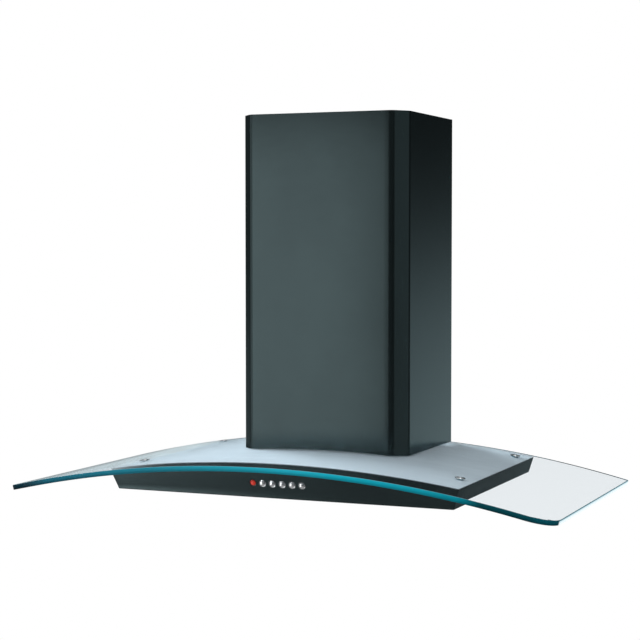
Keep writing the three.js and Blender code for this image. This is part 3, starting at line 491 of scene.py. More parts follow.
def sweep(path, radius, sides=8):
    """A round bar along a path of points."""
    bm = bmesh.new()
    points = [Vector(p) for p in path]
    rings = []
    for i, p in enumerate(points):
        ahead = points[i + 1] if i + 1 < len(points) else p
        behind = points[i - 1] if i else p
        along = (ahead - behind).normalized()
        side = along.cross(Vector((0, 0, 1))).normalized()
        over = side.cross(along)
        ring = []
        for k in range(sides):
            a = 2 * math.pi * k / sides
            ring.append(bm.verts.new(p + side * radius * math.cos(a) + over * radius * math.sin(a)))
        rings.append(ring)
    for a, b in zip(rings, rings[1:]):
        for k in range(sides):
            bm.faces.new([a[k], a[(k + 1) % sides], b[(k + 1) % sides], b[k]])
    bm.faces.new(rings[0][::-1])
    bm.faces.new(rings[-1])
    return bm


def coil(radius, wire, turns, length):
    """A compression spring along Z with closed, ground ends."""
    steps = turns * 28
    path = []
    for i in range(steps + 1):
        t = i / steps
        a = 2 * math.pi * turns * t
        eased = min(1.0, max(0.0, (t - 0.1) / 0.8))
        rise = wire / 2 + (length - wire) * (0.02 * t + 0.98 * eased)
        path.append((radius * math.cos(a), radius * math.sin(a), rise))
    return sweep(path, wire / 2)


def transformed(bm, matrix):
    bmesh.ops.transform(bm, matrix=matrix, verts=bm.verts)
    return bm


def merged(*parts):
    """The first mesh with the others added to it."""
    whole = parts[0]
    for part in parts[1:]:
        mesh = bpy.data.meshes.new("part")
        part.to_mesh(mesh)
        part.free()
        whole.from_mesh(mesh)
        bpy.data.meshes.remove(mesh)
    return whole


def box_part(x0, x1, y0, y1, z0, z1, bevel=0.0):
    bm = bmesh.new()
    centre = Matrix.Translation(((x0 + x1) / 2, (y0 + y1) / 2, (z0 + z1) / 2))
    size = Matrix.Diagonal((x1 - x0, y1 - y0, z1 - z0, 1))
    bmesh.ops.create_cube(bm, size=1.0, matrix=centre @ size)
    if bevel:
        bmesh.ops.bevel(bm, geom=bm.edges[:], offset=bevel, segments=2, profile=0.5, affect="EDGES")
    return bm


def cut_by(obj, cutter_bm):
    """Cuts a mesh object by a solid drawn in millimetres, and keeps the result as its mesh."""
    bmesh.ops.scale(cutter_bm, vec=(MM, MM, MM), verts=cutter_bm.verts)
    bmesh.ops.recalc_face_normals(cutter_bm, faces=cutter_bm.faces)
    mesh = bpy.data.meshes.new("cutter")
    cutter_bm.to_mesh(mesh)
    cutter_bm.free()
    cutter = bpy.data.objects.new("cutter", mesh)
    bpy.context.scene.collection.objects.link(cutter)
    modifier = obj.modifiers.new("cut", "BOOLEAN")
    modifier.object = cutter
    modifier.solver = "EXACT"
    bpy.context.view_layer.update()
    evaluated = obj.evaluated_get(bpy.context.evaluated_depsgraph_get())
    result = bpy.data.meshes.new_from_object(evaluated)
    obj.modifiers.clear()
    obj.data = result
    bpy.data.objects.remove(cutter)
    bpy.data.meshes.remove(mesh)
    return soften(obj)


def refined(node, name, slot, body="hood", bevel=0.3, material=None, segments=2):
    """A CAD solid's own shape with its faces joined up and its edges eased, in place of the faceted node."""
    bm = bmesh.new()
    bm.from_mesh(nodes[node].data)
    bmesh.ops.remove_doubles(bm, verts=bm.verts, dist=WELD)
    bmesh.ops.dissolve_limit(bm, angle_limit=math.radians(FLAT_BELOW), verts=bm.verts, edges=bm.edges)
    mesh = bpy.data.meshes.new(name)
    bm.to_mesh(mesh)
    bm.free()
    mesh.materials.clear()
    mesh.materials.append(material or FINISH[slot])
    for polygon in mesh.polygons:
        polygon.material_index = 0
    obj = bpy.data.objects.new(name, mesh)
    bpy.context.scene.collection.objects.link(obj)
    soften(obj, EASE_ABOVE)
    if bevel:
        ease = obj.modifiers.new("ease", "BEVEL")
        ease.width = bevel * MM
        ease.segments = segments
        ease.limit_method = "ANGLE"
        ease.angle_limit = math.radians(EASE_ABOVE)
        ease.harden_normals = True
    return place(obj, body, [node])


# -------------------------------- sheets that follow the arc
def curved_sheet(outline, holes, radius, thickness, profile, step, band_materials):
    """A sheet bent to the arc. The outline and holes are closed loops of (x, y) on its upper face.
    The profile goes round the edge from the upper face to the lower one, as (inset, depth)."""

    def inset(loop, amount):
        """The loop moved into the sheet."""
        out = []
        for i, point in enumerate(loop):
            before = (Vector(point) - Vector(loop[i - 1])).normalized()
            after = (Vector(loop[(i + 1) % len(loop)]) - Vector(point)).normalized()
            normal = Vector((-(before.y + after.y), before.x + after.x))
            normal.normalize()
            scale = 1 / max(0.4, normal.dot(Vector((-before.y, before.x))))
            out.append(tuple(Vector(point) + normal * amount * scale))
        return out

    def bent(x, y, depth):
        """A point of the flat face on the arc, at a depth below it. x stays as drawn at no depth."""
        angle = math.asin(x / radius)
        r = radius - depth
        return (r * math.sin(angle), y, ARC_Z + r * math.cos(angle))

    def area(loop):
        """Twice the loop's area, positive when it runs anticlockwise."""
        return sum(loop[i - 1][0] * p[1] - p[0] * loop[i - 1][1] for i, p in enumerate(loop))

    # outer loop anticlockwise and holes clockwise, so that "left of the way" is always inside the sheet
    loops = [outline if area(outline) > 0 else outline[::-1]]
    loops += [hole if area(hole) < 0 else hole[::-1] for hole in holes]
    inner = [inset(loop, profile[0][0]) for loop in loops]
    bm = bmesh.new()
    # the faces, flat at first, cut into strips across x
    for depth in (0.0, thickness):
        flat = bmesh.new()
        points = [Vector((x, y, 0)) for loop in inner for x, y in loop]
        verts = [flat.verts.new(p) for p in points]
        for triangle in tessellate_polygon([[Vector((x, y, 0)) for x, y in loop] for loop in inner]):
            flat.faces.new([verts[i] for i in triangle])
        low, high = min(p.x for p in points), max(p.x for p in points)
        count = int((high - low) / step)
        for i in range(1, count):
            bmesh.ops.bisect_plane(
                flat,
                geom=flat.verts[:] + flat.edges[:] + flat.faces[:],
                plane_co=(low + (high - low) * i / count, 0, 0),
                plane_no=(1, 0, 0),
                dist=1e-4,
            )
        for v in flat.verts:
            v.co = bent(v.co.x, v.co.y, depth)
        bm = merged(bm, flat)
    for loop in loops:
        dense = []
        for i, point in enumerate(loop):
            start, end = Vector(loop[i - 1]), Vector(point)
            pieces = max(1, int(abs(end.x - start.x) / step))
            dense += [tuple(start.lerp(end, k / pieces)) for k in range(1, pieces + 1)]
        rings = []
        for amount, depth in profile:
            rings.append([bm.verts.new(bent(x, y, depth)) for x, y in inset(dense, amount)])
        for band, (a, b) in enumerate(zip(rings, rings[1:])):
            for i in range(len(dense)):
                face = bm.faces.new([a[i - 1], a[i], b[i], b[i - 1]])
                face.material_index = band_materials[band]
    bmesh.ops.remove_doubles(bm, verts=bm.verts, dist=0.02)
    return bm


def circle(x, y, radius, count=24):
    return [
        (x + radius * math.cos(2 * math.pi * i / count), y + radius * math.sin(2 * math.pi * i / count))
        for i in range(count)
    ]


def corner(x, y, radius, start, end, steps=12):
    angles = [math.radians(start + (end - start) * i / steps) for i in range(steps + 1)]
    return [(x + radius * math.cos(a), y + radius * math.sin(a)) for a in angles]


def screw_places():
    for side_name, side in SIDES.items():
        for end_name, y in SCREW_YS.items():
            yield f"{end_name}_{side_name}", side * SCREW_X, y


def glass_sheet():
    half, depth, r = GLASS_HALF, GLASS_DEPTH, GLASS_CORNER
    notch, back, q = NOTCH_HALF, NOTCH_DEPTH, NOTCH_CORNER
    outline = [(-half, 0)]
    outline += corner(-half + r, -depth + r, r, 180, 270)
    outline += corner(half - r, -depth + r, r, 270, 360)
    outline += [(half, 0), (notch, 0)]
    outline += corner(notch - q, -back + q, q, 0, -90)
    outline += corner(-notch + q, -back + q, q, -90, -180)
    outline += [(-notch, 0)]
    holes = [circle(x, y, GLASS_HOLE) for _, x, y in screw_places()]
    profile = [(0.75, 0), (0.3, 0.25), (0.08, 0.9), (0, 2.6), (0, 5.4), (0.08, 7.1), (0.3, 7.75), (0.75, 8)]
    looks = [canopy_glass, polished_edge_painted_light, ground_arris_and_highlight]
    bands = [2, 1, 1, 1, 1, 1, 1]  # which of the looks each band of the edge has
    bm = curved_sheet(outline, holes, GLASS_RADIUS, GLASS_THICK, profile, 6.0, bands)
    piece("glass_sheet", bm, "canopy_glass", replaces=["glass_canopy"], materials=looks, angle=22)


def steel_top():
    def edge_x():
        """Half the plate's width, where it meets the body's flared side. Each pass comes closer."""
        x = BODY_HALF
        for _ in range(6):
            x = body_half(arc_z(x, PLATE_RADIUS))
        return x

    half = edge_x()
    count = 48
    xs = [-half + 2 * half * i / count for i in range(count + 1)]
    front = [(x, body_front(arc_z(x, PLATE_RADIUS))) for x in xs]
    outline = [*front, (half, BODY_REAR), (-half, BODY_REAR)]
    opening = [(side * OPENING_HALF, OPENING_FRONT) for side in (-1, 1)]
    opening += [(side * OPENING_HALF, OPENING_REAR) for side in (1, -1)]
    holes = [circle(x, y, PLATE_HOLE) for _, x, y in screw_places()] + [opening]
    profile = [(0.15, 0), (0, 0.15), (0, 0.85), (0.15, 1.0)]
    bm = curved_sheet(outline, holes, PLATE_RADIUS, SHEET, profile, 8.0, [1, 1, 1])
    piece("steel_top", bm, "brushed_steel", replaces=["top_plate"], materials=[brushed_steel, raw_edge])


glass_sheet()
steel_top()


# -------------------------------- the control row's own frame
# In it X runs along the row and -Y points out of the raked front panel.
CONTROL_Z = BOTTOM_Z + CONTROL_RISE
RAKE = Matrix.Rotation(math.atan(LEAN), 4, "X")
CONTROLS = Matrix.Translation((0, body_front(CONTROL_Z), CONTROL_Z)) @ RAKE
OUTWARD = Matrix.Rotation(math.pi / 2, 4, "X")  # turns a lathe's Z into -Y
INWARD = Matrix.Rotation(-math.pi / 2, 4, "X")  # turns a lathe's Z into Y


def control_place(index):
    return Matrix.Translation(((index - (CONTROL_COUNT - 1) / 2) * CONTROL_PITCH, 0, 0))


# -------------------------------- the black body, folded from one sheet
def body_pressing():
    bend, corner_radius, lip = 1.6, 1.4, 12.0
    side_count, front_count = 8, 44

    def round_body(half, front_y, radius, side_z, front_at):
        """A line from the left rear forwards, round the corner, across the front and back along the right.
        front_at gives the front's (y, z) at an x."""
        side_y = front_y + radius - BODY_REAR
        left = [(-half, BODY_REAR + side_y * i / side_count, side_z) for i in range(side_count + 1)]
        for t in map(math.radians, BEND_STEPS):
            left.append((-half + radius * (1 - math.cos(t)), front_y + radius * (1 - math.sin(t)), side_z))
        xs = [(-half + radius) + 2 * (half - radius) * i / front_count for i in range(front_count + 1)]
        return left + [(x, *front_at(x)) for x in xs] + [(-x, y, z) for x, y, z in left][::-1]

    def level_line(inset_by, rise, radius):
        """One line round the body at a rise from the bend (0) to the arc (1), inset from the outer face."""

        def height(x):
            return BOTTOM_Z + bend + (arc_z(x, SHELL_RADIUS) - BOTTOM_Z - bend) * rise

        def front_at(x):
            return body_front(height(x)) + inset_by, height(x)

        z_side = height(BODY_HALF)
        for _ in range(4):  # the side leans, so its height and its place settle together
            z_side = height(body_half(z_side))
        front_y = body_front(z_side) + inset_by
        return round_body(body_half(z_side) - inset_by, front_y, radius, z_side, front_at)

    def foot_line(inset_by, drop, radius):
        """One line at or below the bend, where the sheet turns inwards to the lip."""
        front_y, z = BODY_FRONT - LEAN * bend + inset_by, BOTTOM_Z + bend - drop
        return round_body(BODY_HALF + FLARE * bend - inset_by, front_y, radius, z, lambda x: (front_y, z))

    def section(depth):
        """Lines from the top of the wall, down and round to the lip's inner edge, on a face at this depth."""
        r = max(0.05, corner_radius - depth)
        lines = [level_line(depth, rise, r) for rise in (1.0, 0.75, 0.5, 0.25, 0.0)]
        reach = bend - depth
        for t in map(math.radians, (*BEND_STEPS, 90)):
            lines.append(foot_line(depth + reach * (1 - math.cos(t)), reach * math.sin(t), r))
        lines.append(foot_line(lip - 0.2, bend - depth, r))
        return lines

    bm = bmesh.new()
    outer = [[bm.verts.new(p) for p in line] for line in section(0.0)]
    inner = [[bm.verts.new(p) for p in line] for line in section(SHEET)]
    count = len(outer[0])
    for lines in (outer, inner):
        for a, b in zip(lines, lines[1:]):
            for i in range(count - 1):
                bm.faces.new([a[i], a[i + 1], b[i + 1], b[i]])
    for edge in (0, -1):
        for i in range(count - 1):
            bm.faces.new([outer[edge][i], outer[edge][i + 1], inner[edge][i + 1], inner[edge][i]])
    for end in (0, count - 1):
        for k in range(len(outer) - 1):
            bm.faces.new([outer[k][end], outer[k + 1][end], inner[k + 1][end], inner[k][end]])
    obj = piece("body_pressing", bm, "black_steel", replaces=["body_shell"])
    punch = [(0, -4), (CONTROL_HOLE, -4), (CONTROL_HOLE, 4), (0, 4)]
    spots = [CONTROLS @ control_place(i) @ OUTWARD for i in range(CONTROL_COUNT)]
    cut_by(obj, merged(*[transformed(lathe(punch, 40), spot) for spot in spots]))


# -------------------------------- control row
def button_row():
    """The bezels, the lamp, the buttons and their springs. Depths count inwards from the panel's face."""
    guide_y, guide_thick = SHEET + GAP, 1.5
    flange_y = guide_y + guide_thick + GAP
    flange_end = flange_y + 1
    stem_end = flange_y + 12
    spring_y = flange_end + GAP
    face_y = spring_y + 6  # the switch block's face
    flange_r = 5.7
    guide_end = -guide_y - guide_thick
    ring = [(5.1, guide_end), (5.7, guide_end), (5.7, 0.35), (5.5, 0.7), (5.3, 0.7), (5.1, 0.5)]
    strip = box_part(-52, 52, guide_y, guide_y + guide_thick, -8, 8, 0.3)
    spots = [control_place(i) for i in range(CONTROL_COUNT)]
    rings = [transformed(lathe(ring, 48, closed=True), spot @ OUTWARD) for spot in spots]
    for face in rings[0].faces:
        face.material_index = 1
    looks = [chrome, black_plastic]
    whole = merged(strip, *rings)
    piece("button_bezels", whole, "chrome", replaces=["button_guide"], materials=looks, matrix=CONTROLS)

    flange = [(flange_r, -flange_y), (flange_r, -flange_end)]
    cap = [(0, 3.6), (0.9, 3.54), (1.8, 3.37), (2.7, 3.08), (3.4, 2.76), (3.9, 2.44), (4.2, 2.15), (4.3, 1.8)]
    cap += [(4.3, -flange_y), *flange, (2, -flange_end), (2, -stem_end), (0, -stem_end)]
    length = face_y - spring_y - GAP
    for spot, label in zip(spots[1:], BUTTONS):
        at = CONTROLS @ spot
        body = f"button_{label}"
        piece(f"cap_{label}", lathe(cap, 48), "chrome", body, [body], matrix=at @ OUTWARD)
        inward = at @ (Matrix.Translation((0, spring_y, 0)) @ INWARD)
        wound = coil(3.1, 0.5, 4, length)
        node = f"button_spring_{label}"
        spring = piece(f"return_spring_{label}", wound, "spring_steel", replaces=[node], matrix=inward)
        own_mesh(spring)

    r = 4.8 - GAP
    lens = [(0, 2.4), (1.3, 2.3), (2.4, 1.9), (3.2, 1.3), (3.7, 0.5), (3.8, -0.4), (r, -0.9), (r, -flange_y)]
    lens += [*flange, (3, -flange_end), (3, 0.5 - face_y), (0, 0.5 - face_y)]
    lamp_at = CONTROLS @ spots[0] @ OUTWARD
    piece("pilot_lens", lathe(lens, 48), "red_lens", replaces=["indicator_lamp"], matrix=lamp_at)
    refined("switch_housing", "switch_block", "black_plastic", bevel=0.6)


body_pressing()
button_row()


# -------------------------------- canopy screws
def canopy_screws():
    """Domed heads on washers. Heights count from the glass's upper face."""
    head = [(0, -13), (2.6, -13), (3, -12.6), (3, GAP), (7.9, GAP), (8.2, 0.6), (8.1, 1.0), (7.6, 1.5)]
    head += [(7.0, 1.6), (6.5, 1.3), (6.1, 0.7), (5.1, 0.6), (4.9, 1.4), (4.6, 1.9), (3.9, 2.2), (2.6, 2.35)]
    head += [(2.2, 2.3), (2.0, 2.1), (1.9, 0.9), (0, 0.9)]  # the driver's socket
    for name, x, y in screw_places():
        tilt = Matrix.Rotation(math.asin(x / GLASS_RADIUS), 4, "Y")
        at = Matrix.Translation((x, y, arc_z(x))) @ tilt
        node = f"glass_screw_{name}"
        piece(f"canopy_screw_{name}", lathe(head, 40), "chrome", replaces=[node], matrix=at)


canopy_screws()


# -------------------------------- chimney covers
FOLD_SHRINK = 0.42  # how much shorter the slanting fold gets, per step inwards


def chimney_line(inset, extra=0.0, steps=10, spacing=9.0):
    """The right half of the cover's outline, from the middle of the front to the side, and its half width.
    The line lies inset + extra inside the lower cover's outer face. extra is the sheet's thickness."""
    moved = inset + extra
    w, front = CHIMNEY_HALF - moved, CHIMNEY_FRONT + moved
    shrink = moved * FOLD_SHRINK
    fx, fy = w - FOLD_WIDTH + shrink, front + FOLD_DEPTH - shrink

    def bend(before, at, after, radius):
        """An arc that rounds the corner at a point."""
        a, c, b = Vector(before), Vector(at), Vector(after)
        to_a, to_b = (a - c).normalized(), (b - c).normalized()
        turn = math.pi - to_a.angle(to_b)
        reach = radius * math.tan(turn / 2)
        start, end = c + to_a * reach, c + to_b * reach
        centre = c + (to_a + to_b).normalized() * (radius / math.cos(turn / 2))
        first, last = start - centre, end - centre
        out = []
        for i in range(steps + 1):
            t = i / steps
            mix = (first * (1 - t) + last * t).normalized()
            out.append(tuple(centre + mix * radius))
        return out

    radius = FOLD_RADIUS - extra
    first = bend((0, front), (fx, front), (w, fy), radius)
    second = bend((fx, front), (w, fy), (w, 0), radius)
    count = int((CHIMNEY_HALF - FOLD_WIDTH) / spacing)
    line = [(first[0][0] * i / count, front) for i in range(count)] + first
    line += [(second[0][0], second[0][1])] + second[1:]
    return line, w


def chimney_cover(name, node, body, inset, bottom, top, slots=()):
    """A folded cover, open at the rear. bottom gives the height of its lower edge at an x."""
    outer, w = chimney_line(inset)
    inner, _ = chimney_line(inset, SHEET)
    rear, near_rear = -inset, -12 - inset
    flange_x = CHIMNEY_HALF - REAR_FLANGE
    outer += [(w, near_rear), (w, rear - 0.4), (w - 0.4, rear), (flange_x, rear)]
    inner_w, inner_rear = w - SHEET, rear - SHEET
    inner += [(inner_w, near_rear), (inner_w, inner_rear - 0.1), (inner_w - 0.1, inner_rear)]
    inner += [(flange_x, inner_rear)]

    def whole(line):
        return [(-x, y) for x, y in line[:0:-1]] + line

    bm = bmesh.new()
    faces = []
    for line in (whole(outer), whole(inner)):
        low = [bm.verts.new((x, y, bottom(x))) for x, y in line]
        high = [bm.verts.new((x, y, top)) for x, y in line]
        for i in range(len(line) - 1):
            bm.faces.new([low[i], low[i + 1], high[i + 1], high[i]])
        faces.append((low, high))
    (low_out, high_out), (low_in, high_in) = faces
    for a, b in ((low_out, low_in), (high_out, high_in)):
        for i in range(len(a) - 1):
            bm.faces.new([a[i], a[i + 1], b[i + 1], b[i]])
    for i in (0, len(low_out) - 1):
        bm.faces.new([low_out[i], high_out[i], high_in[i], low_in[i]])
    obj = piece(name, bm, "black_steel", body, [node], angle=20)
    if slots:
        cut_by(obj, merged(*[slot_tool(*slot) for slot in slots]))


def slot_tool(y0, y1, z0, z1):
    """A long slot with round ends through both side walls."""
    r = (z1 - z0) / 2
    loop = corner(y1 - r, (z0 + z1) / 2, r, -90, 90, 8) + corner(y0 + r, (z0 + z1) / 2, r, 90, 270, 8)
    bm = bmesh.new()
    ends = [[bm.verts.new((x, y, z)) for y, z in loop] for x in (-200, 200)]
    for i in range(len(loop)):
        bm.faces.new([ends[0][i - 1], ends[0][i], ends[1][i], ends[1][i - 1]])
    bm.faces.new(ends[0])
    bm.faces.new(ends[1])
    return bm


def on_glass(x):
    return arc_z(x, GLASS_RADIUS + GAP)


UPPER_TOP = CHIMNEY_TOP - 3
middle_y = CHIMNEY_FRONT / 2
vent_tops = [UPPER_TOP - VENT_DROP - VENT_PITCH * i for i in range(VENT_COUNT)]
vents = [(middle_y - VENT_HALF, middle_y + VENT_HALF, top - VENT_HEIGHT, top) for top in vent_tops]
chimney_cover("chimney_cover", "chimney_lower", "hood", 0.0, on_glass, CHIMNEY_TOP)
chimney_cover(
    "chimney_slide",
    "chimney_upper",
    "upper_chimney",
    SLIDE_INSET,
    lambda x: UPPER_TOP - SLIDE_LENGTH,
    UPPER_TOP,
    slots=vents,
)


# -------------------------------- sheet metal and blower
for node, name, slot, body, bevel in [
    ("chimney_bracket", "wall_bracket", "galvanised_steel", "upper_chimney", 0.3),
    ("rear_panel", "rear_sheet", "galvanised_steel", "hood", 0.3),
    ("wall_rail", "hanging_rail", "galvanised_steel", "hood", 0.35),
    ("underside_plate", "bottom_sheet", "brushed_steel", "hood", 0.25),
    ("blower_box", "blower_case", "galvanised_steel", "hood", 0.4),
    ("blower_housing_left", "scroll_left", "black_plastic", "hood", 0.6),
    ("blower_housing_right", "scroll_right", "black_plastic", "hood", 0.6),
    ("fan_motor", "motor_can", "galvanised_steel", "hood", 0.5),
    ("motor_mount", "motor_spider", "galvanised_steel", "hood", 0.3),
    ("motor_shaft", "fan_shaft", "spring_steel", "fan", 0.4),
    ("fan_wheel", "blade_wheel", "grey_plastic", "fan", 0.15),
    ("outlet_collar", "duct_collar", "black_plastic", "hood", 0.3),
    ("damper_pin", "flap_pin", "spring_steel", "hood", 0.2),
    ("damper_flap_front", "flap_front", "grey_plastic", "damper_front", 0.25),
    ("damper_flap_rear", "flap_rear", "grey_plastic", "damper_rear", 0.25),
    ("terminal_box", "junction_box", "black_plastic", "hood", 0.6),
    ("terminal_cover", "junction_lid", "black_plastic", "hood", 0.7),
    ("terminal_block", "clamp_block", "pale_plastic", "hood", 0.4),
    ("cable_gland", "inlet_gland", "grey_plastic", "hood", 0.4),
    ("motor_capacitor", "run_capacitor", "pale_plastic", "hood", 0.4),
]:
    refined(node, name, slot, body, bevel)


# -------------------------------- filters and lamps
FILTER_X, FILTER_Y = 124.0, -165.0
LAMP_X, LAMP_Y = 190, -347
MESH_HALF_X, MESH_HALF_Y = 101.7, 120.7
NOTCH_X, NOTCH_Y = 30.8, -97.2  # the space that the catch's housing takes from the mesh


def expanded_metal(z, wave, phase, cell_x, cell_y, strand):
    """One crimped layer of expanded metal: a net of diamonds with a strand along each edge."""
    bm = bmesh.new()
    verts = {}

    def node(i, j):
        if (i, j) not in verts:
            verts[i, j] = bm.verts.new((i * cell_x / 2, j * cell_y / 2, 0))
        return verts[i, j]

    reach_i, reach_j = int(2 * MESH_HALF_X / cell_x) + 2, int(2 * MESH_HALF_Y / cell_y) + 2
    for i in range(-reach_i, reach_i + 1):
        for j in range(-reach_j, reach_j + 1):
            if (i + j) % 2:
                bm.faces.new([node(i - 1, j), node(i, j - 1), node(i + 1, j), node(i, j + 1)])

    # the net's edge is pulled out to the edge of the space for the catch
    def inside(v):
        return abs(v.co.x) < NOTCH_X and v.co.y < NOTCH_Y

    bmesh.ops.delete(bm, geom=[f for f in bm.faces if all(inside(v) for v in f.verts)], context="FACES")
    for v in bm.verts:
        if inside(v):
            if NOTCH_Y - v.co.y < NOTCH_X - abs(v.co.x):
                v.co.y = NOTCH_Y
            else:
                v.co.x = math.copysign(NOTCH_X, v.co.x)
    for axis, reach in ((0, MESH_HALF_X - 0.6), (1, MESH_HALF_Y - 0.6)):
        for way in (-1, 1):
            at, normal = [0, 0, 0], [0, 0, 0]
            at[axis], normal[axis] = way * reach, way
            bmesh.ops.bisect_plane(
                bm,
                geom=bm.verts[:] + bm.edges[:] + bm.faces[:],
                plane_co=at,
                plane_no=normal,
                clear_outer=True,
                dist=1e-3,
            )
    bmesh.ops.remove_doubles(bm, verts=bm.verts, dist=0.3)
    bmesh.ops.wireframe(bm, faces=bm.faces, thickness=strand, use_replace=True, use_boundary=True)
    for v in bm.verts:
        v.co.z += z + wave * math.sin(v.co.x * 2 * math.pi / 25 + phase)
    return bm


def filter_mesh(side_name, side):
    layers = [
        expanded_metal(2.9, 0.35, 0.0, 11.0, 6.5, 0.9),
        expanded_metal(4.5, 0.3, 2.1, 14.0, 8.0, 0.8),
        expanded_metal(6.1, 0.35, 4.2, 11.0, 6.5, 0.9),
    ]
    at = Matrix.Translation((side * FILTER_X, FILTER_Y, BOTTOM_Z))
    node = f"filter_mesh_{side_name}"
    body = f"filter_{side_name}"
    piece(f"filter_weave_{side_name}", merged(*layers), "filter_aluminium", body, [node], matrix=at)


def catch_spring(side_name, side):
    length, rear = 10.4, -101.3
    seat = Vector((side * FILTER_X, FILTER_Y + rear, BOTTOM_Z + 3.5))
    at = Matrix.Translation(seat - Vector((0, length, 0))) @ INWARD
    node, body = f"latch_spring_{side_name}", f"filter_{side_name}"
    wound = coil(2.0, 0.6, 5, length)
    spring = piece(f"catch_spring_{side_name}", wound, "spring_steel", body, [node], matrix=at)
    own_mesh(spring)


def lamp_diffuser(side_name, side):
    """A lens whose lower face is pressed into fine rings that spread the light."""
    profile = [(0, 1.0)]
    ring_pitch = 1.5
    for k in range(1, 15):
        profile += [(ring_pitch * k - ring_pitch / 2, 1.35), (ring_pitch * k, 0.95)]
    profile += [(22, 0.9), (24.5, 0.9), (24.7, 1.1), (24.7, 3.5), (24.4, 3.65), (20, 3.9), (0, 4.2)]
    at = Matrix.Translation((side * LAMP_X, LAMP_Y, BOTTOM_Z))
    node = f"lamp_lens_{side_name}"
    bm = lathe(profile, 64)
    piece(f"lamp_diffuser_{side_name}", bm, "lamp_glass", replaces=[node], angle=50, matrix=at)


for side_name, side in SIDES.items():
    on_filter, on_catch = f"filter_{side_name}", f"latch_{side_name}"
    rim, catch = f"filter_rim_{side_name}", f"filter_catch_{side_name}"
    refined(f"filter_frame_{side_name}", rim, "filter_aluminium", on_filter, 0.9, segments=3)
    filter_mesh(side_name, side)
    refined(f"filter_latch_{side_name}", catch, "black_plastic", on_catch, 0.5)
    catch_spring(side_name, side)
    refined(f"lamp_bezel_{side_name}", f"lamp_ring_{side_name}", "chrome")
    lamp_diffuser(side_name, side)
    refined(f"lamp_holder_{side_name}", f"lamp_can_{side_name}", "galvanised_steel")
    refined(f"lamp_bulb_{side_name}", f"lamp_capsule_{side_name}", "lamp_glass", material=bulb_glass)


# -------------------------------- floor, light and camera
# Places from here on are in metres.
FLOOR_HALF, FLOOR_Z = 4.0, -1.05
CAMERA_PLACE, CAMERA_DOWN, CAMERA_TURN, CAMERA_LENS = (1.0460, -2.7114, 0.3759), 2.612, 22.892, 94.36


def white_to_the_eye(tree):
    """1 for camera rays and for rays that came straight through glass, and 0 for every other ray."""
    path = tree.nodes.new("ShaderNodeLightPath").outputs
    bounces = maths(tree, "ADD", path["Glossy Depth"], path["Diffuse Depth"])
    unbounced = maths(tree, "LESS_THAN", bounces, 0.5)
    straight = maths(tree, "MULTIPLY", path["Is Transmission Ray"], unbounced)
    return maths(tree, "MAXIMUM", path["Is Camera Ray"], straight)


def make_floor():
    """White to the eye and dim to the light. From below it isn't there."""
    mesh = bpy.data.meshes.new("floor")
    corners = [(-1, -1), (1, -1), (1, 1), (-1, 1)]
    mesh.from_pydata([(x * FLOOR_HALF, y * FLOOR_HALF, FLOOR_Z) for x, y in corners], [], [(0, 1, 2, 3)])
    floor = bpy.data.objects.new("floor", mesh)
    bpy.context.scene.collection.objects.link(floor)
    material = bpy.data.materials.new("pale_floor")
    tree, out = own_nodes(material, "ShaderNodeOutputMaterial")
    plain = added(tree, "BsdfDiffuse", Color=(0.22, 0.22, 0.22, 1))
    white = added(tree, "Emission", Color=(1, 1, 1, 1))
    clear = tree.nodes.new("ShaderNodeBsdfTransparent")
    above = blended(tree, white_to_the_eye(tree), plain.outputs[0], white.outputs[0])
    below = tree.nodes.new("ShaderNodeNewGeometry").outputs["Backfacing"]
    feed(tree, out.inputs["Surface"], blended(tree, below, above, clear.outputs[0]))
    mesh.materials.append(material)


def make_world():
    """White to the eye. Reflections see a dim room with a pale table top behind."""
    world = bpy.data.worlds.new("studio")
    bpy.context.scene.world = world
    tree, out = own_nodes(world, "ShaderNodeOutputWorld")
    way = tree.nodes.new("ShaderNodeTexCoord").outputs["Generated"]
    split = added(tree, "SeparateXYZ", Vector=way).outputs
    height = ranged(tree, split["Z"], 0.0, 1.0, -1.0, 1.0)  # 0 straight down, 1 straight up

    def levels(*stops):
        cool = (0.90, 0.98, 1.0)
        return ramp(tree, height, [(at, tuple(level * c for c in cool)) for at, level in stops])

    dim = levels(
        (0.0, 0.5), (0.45, 0.12), (0.49, 0.015), (0.57, 0.015), (0.64, 0.06), (0.75, 0.2), (1.0, 0.4)
    )
    pale_table = levels(
        (0.0, 0.2), (0.36, 0.2), (0.41, 0.6), (0.44, 0.7), (0.47, 0.5), (0.487, 0.33), (0.5, 0.16),
        (0.513, 0.07), (0.535, 0.02), (0.64, 0.04), (0.7, 0.4), (0.8, 0.6), (1.0, 0.4),
    )
    pale_left = levels(
        (0.0, 0.3), (0.44, 0.4), (0.458, 0.5), (0.476, 0.95), (0.49, 0.85), (0.505, 0.4), (0.52, 0.06),
        (1.0, 0.4),
    )
    beside = levels((0.0, 0.5), (0.45, 0.5), (0.5, 0.5), (0.6, 0.35), (1.0, 0.4))
    behind = ranged(tree, split["Y"], 0.0, 1.0, 0.72, 0.84)
    right = ranged(tree, split["X"], 0.0, 1.0, 0.88, 0.97)
    left = ranged(tree, split["X"], 1.0, 0.0, -0.47, -0.43)
    around = mixed(tree, right, dim, beside)
    table = mixed(tree, left, pale_table, pale_left)
    room = added(tree, "Background", Color=mixed(tree, behind, around, table))
    white = added(tree, "Background", Color=(1, 1, 1, 1))
    seen = blended(tree, white_to_the_eye(tree), room.outputs[0], white.outputs[0])
    feed(tree, out.inputs["Surface"], seen)


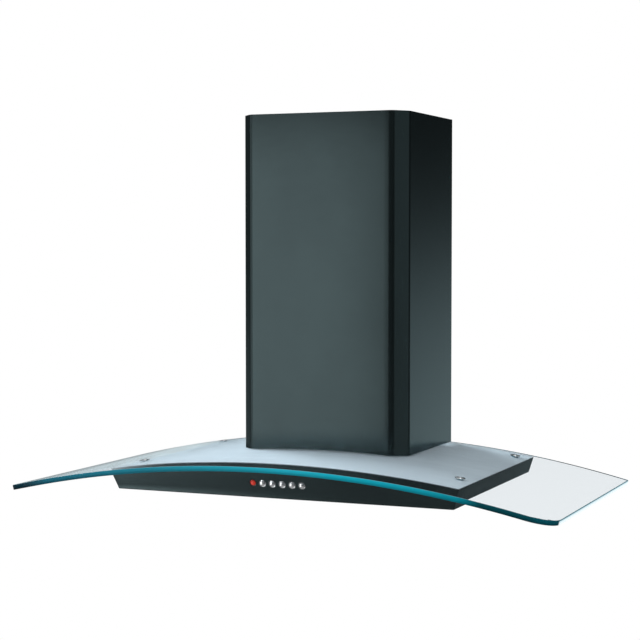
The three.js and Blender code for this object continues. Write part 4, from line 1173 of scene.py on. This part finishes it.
def softbox(name, place_at, look_at, width, height, level, mirrored=True):
    """A rectangular lamp of an even brightness, where a level of 1 shows as white. One that isn't mirrored
    lights the object, but is seen neither in reflections nor through glass."""
    data = bpy.data.lights.new(name, "AREA")
    data.shape = "RECTANGLE"
    data.size, data.size_y = width, height
    data.energy = level * math.pi * width * height
    lamp = bpy.data.objects.new(name, data)
    bpy.context.scene.collection.objects.link(lamp)
    lamp.location = place_at
    lamp.rotation_euler = (Vector(look_at) - Vector(place_at)).to_track_quat("-Z", "Y").to_euler()
    lamp.visible_camera = False
    lamp.visible_glossy = mirrored
    lamp.visible_transmission = mirrored


def make_camera():
    data = bpy.data.cameras.new("photo_view")
    data.sensor_width, data.lens = 36.0, CAMERA_LENS
    camera = bpy.data.objects.new("photo_view", data)
    bpy.context.scene.collection.objects.link(camera)
    camera.location = CAMERA_PLACE
    camera.rotation_euler = (math.radians(90 - CAMERA_DOWN), 0, math.radians(CAMERA_TURN))
    bpy.context.scene.camera = camera


make_floor()
make_world()
# each lamp: where it is, where it points, its width, height and level
softbox("key", (-0.97, -1.76, 0.21), (-0.05, -0.27, 0.21), 1.0, 1.02, 2.3)
softbox("overhead", (0.0, -0.2, 1.9), (0.0, -0.2, 0.0), 2.0, 1.6, 1.3)
softbox("front_fill", (-0.2, -2.6, 1.0), (0.0, -0.3, 0.0), 1.5, 1.5, 2.6, mirrored=False)
softbox("left", (-2.6, -1.3, 0.3), (0.0, -0.25, 0.3), 1.6, 1.3, 1.0)
softbox("high_left", (-2.2, 0.7, 1.9), (0.0, -0.3, 0.0), 1.7, 1.7, 19.0, mirrored=False)
softbox("fill_right", (1.6, -2.2, 1.9), (0.0, -0.3, 0.2), 1.6, 1.6, 1.2)
softbox("low_left", (-1.25, -1.65, -0.97), (-0.3, -0.4, 0.0), 1.2, 0.6, 3.4)
softbox("from_below", (0.3, -0.4, -1.0), (0.0, -0.25, 0.0), 1.4, 1.0, 1.4, mirrored=False)
make_camera()
bpy.context.scene.view_settings.view_transform = "Standard"
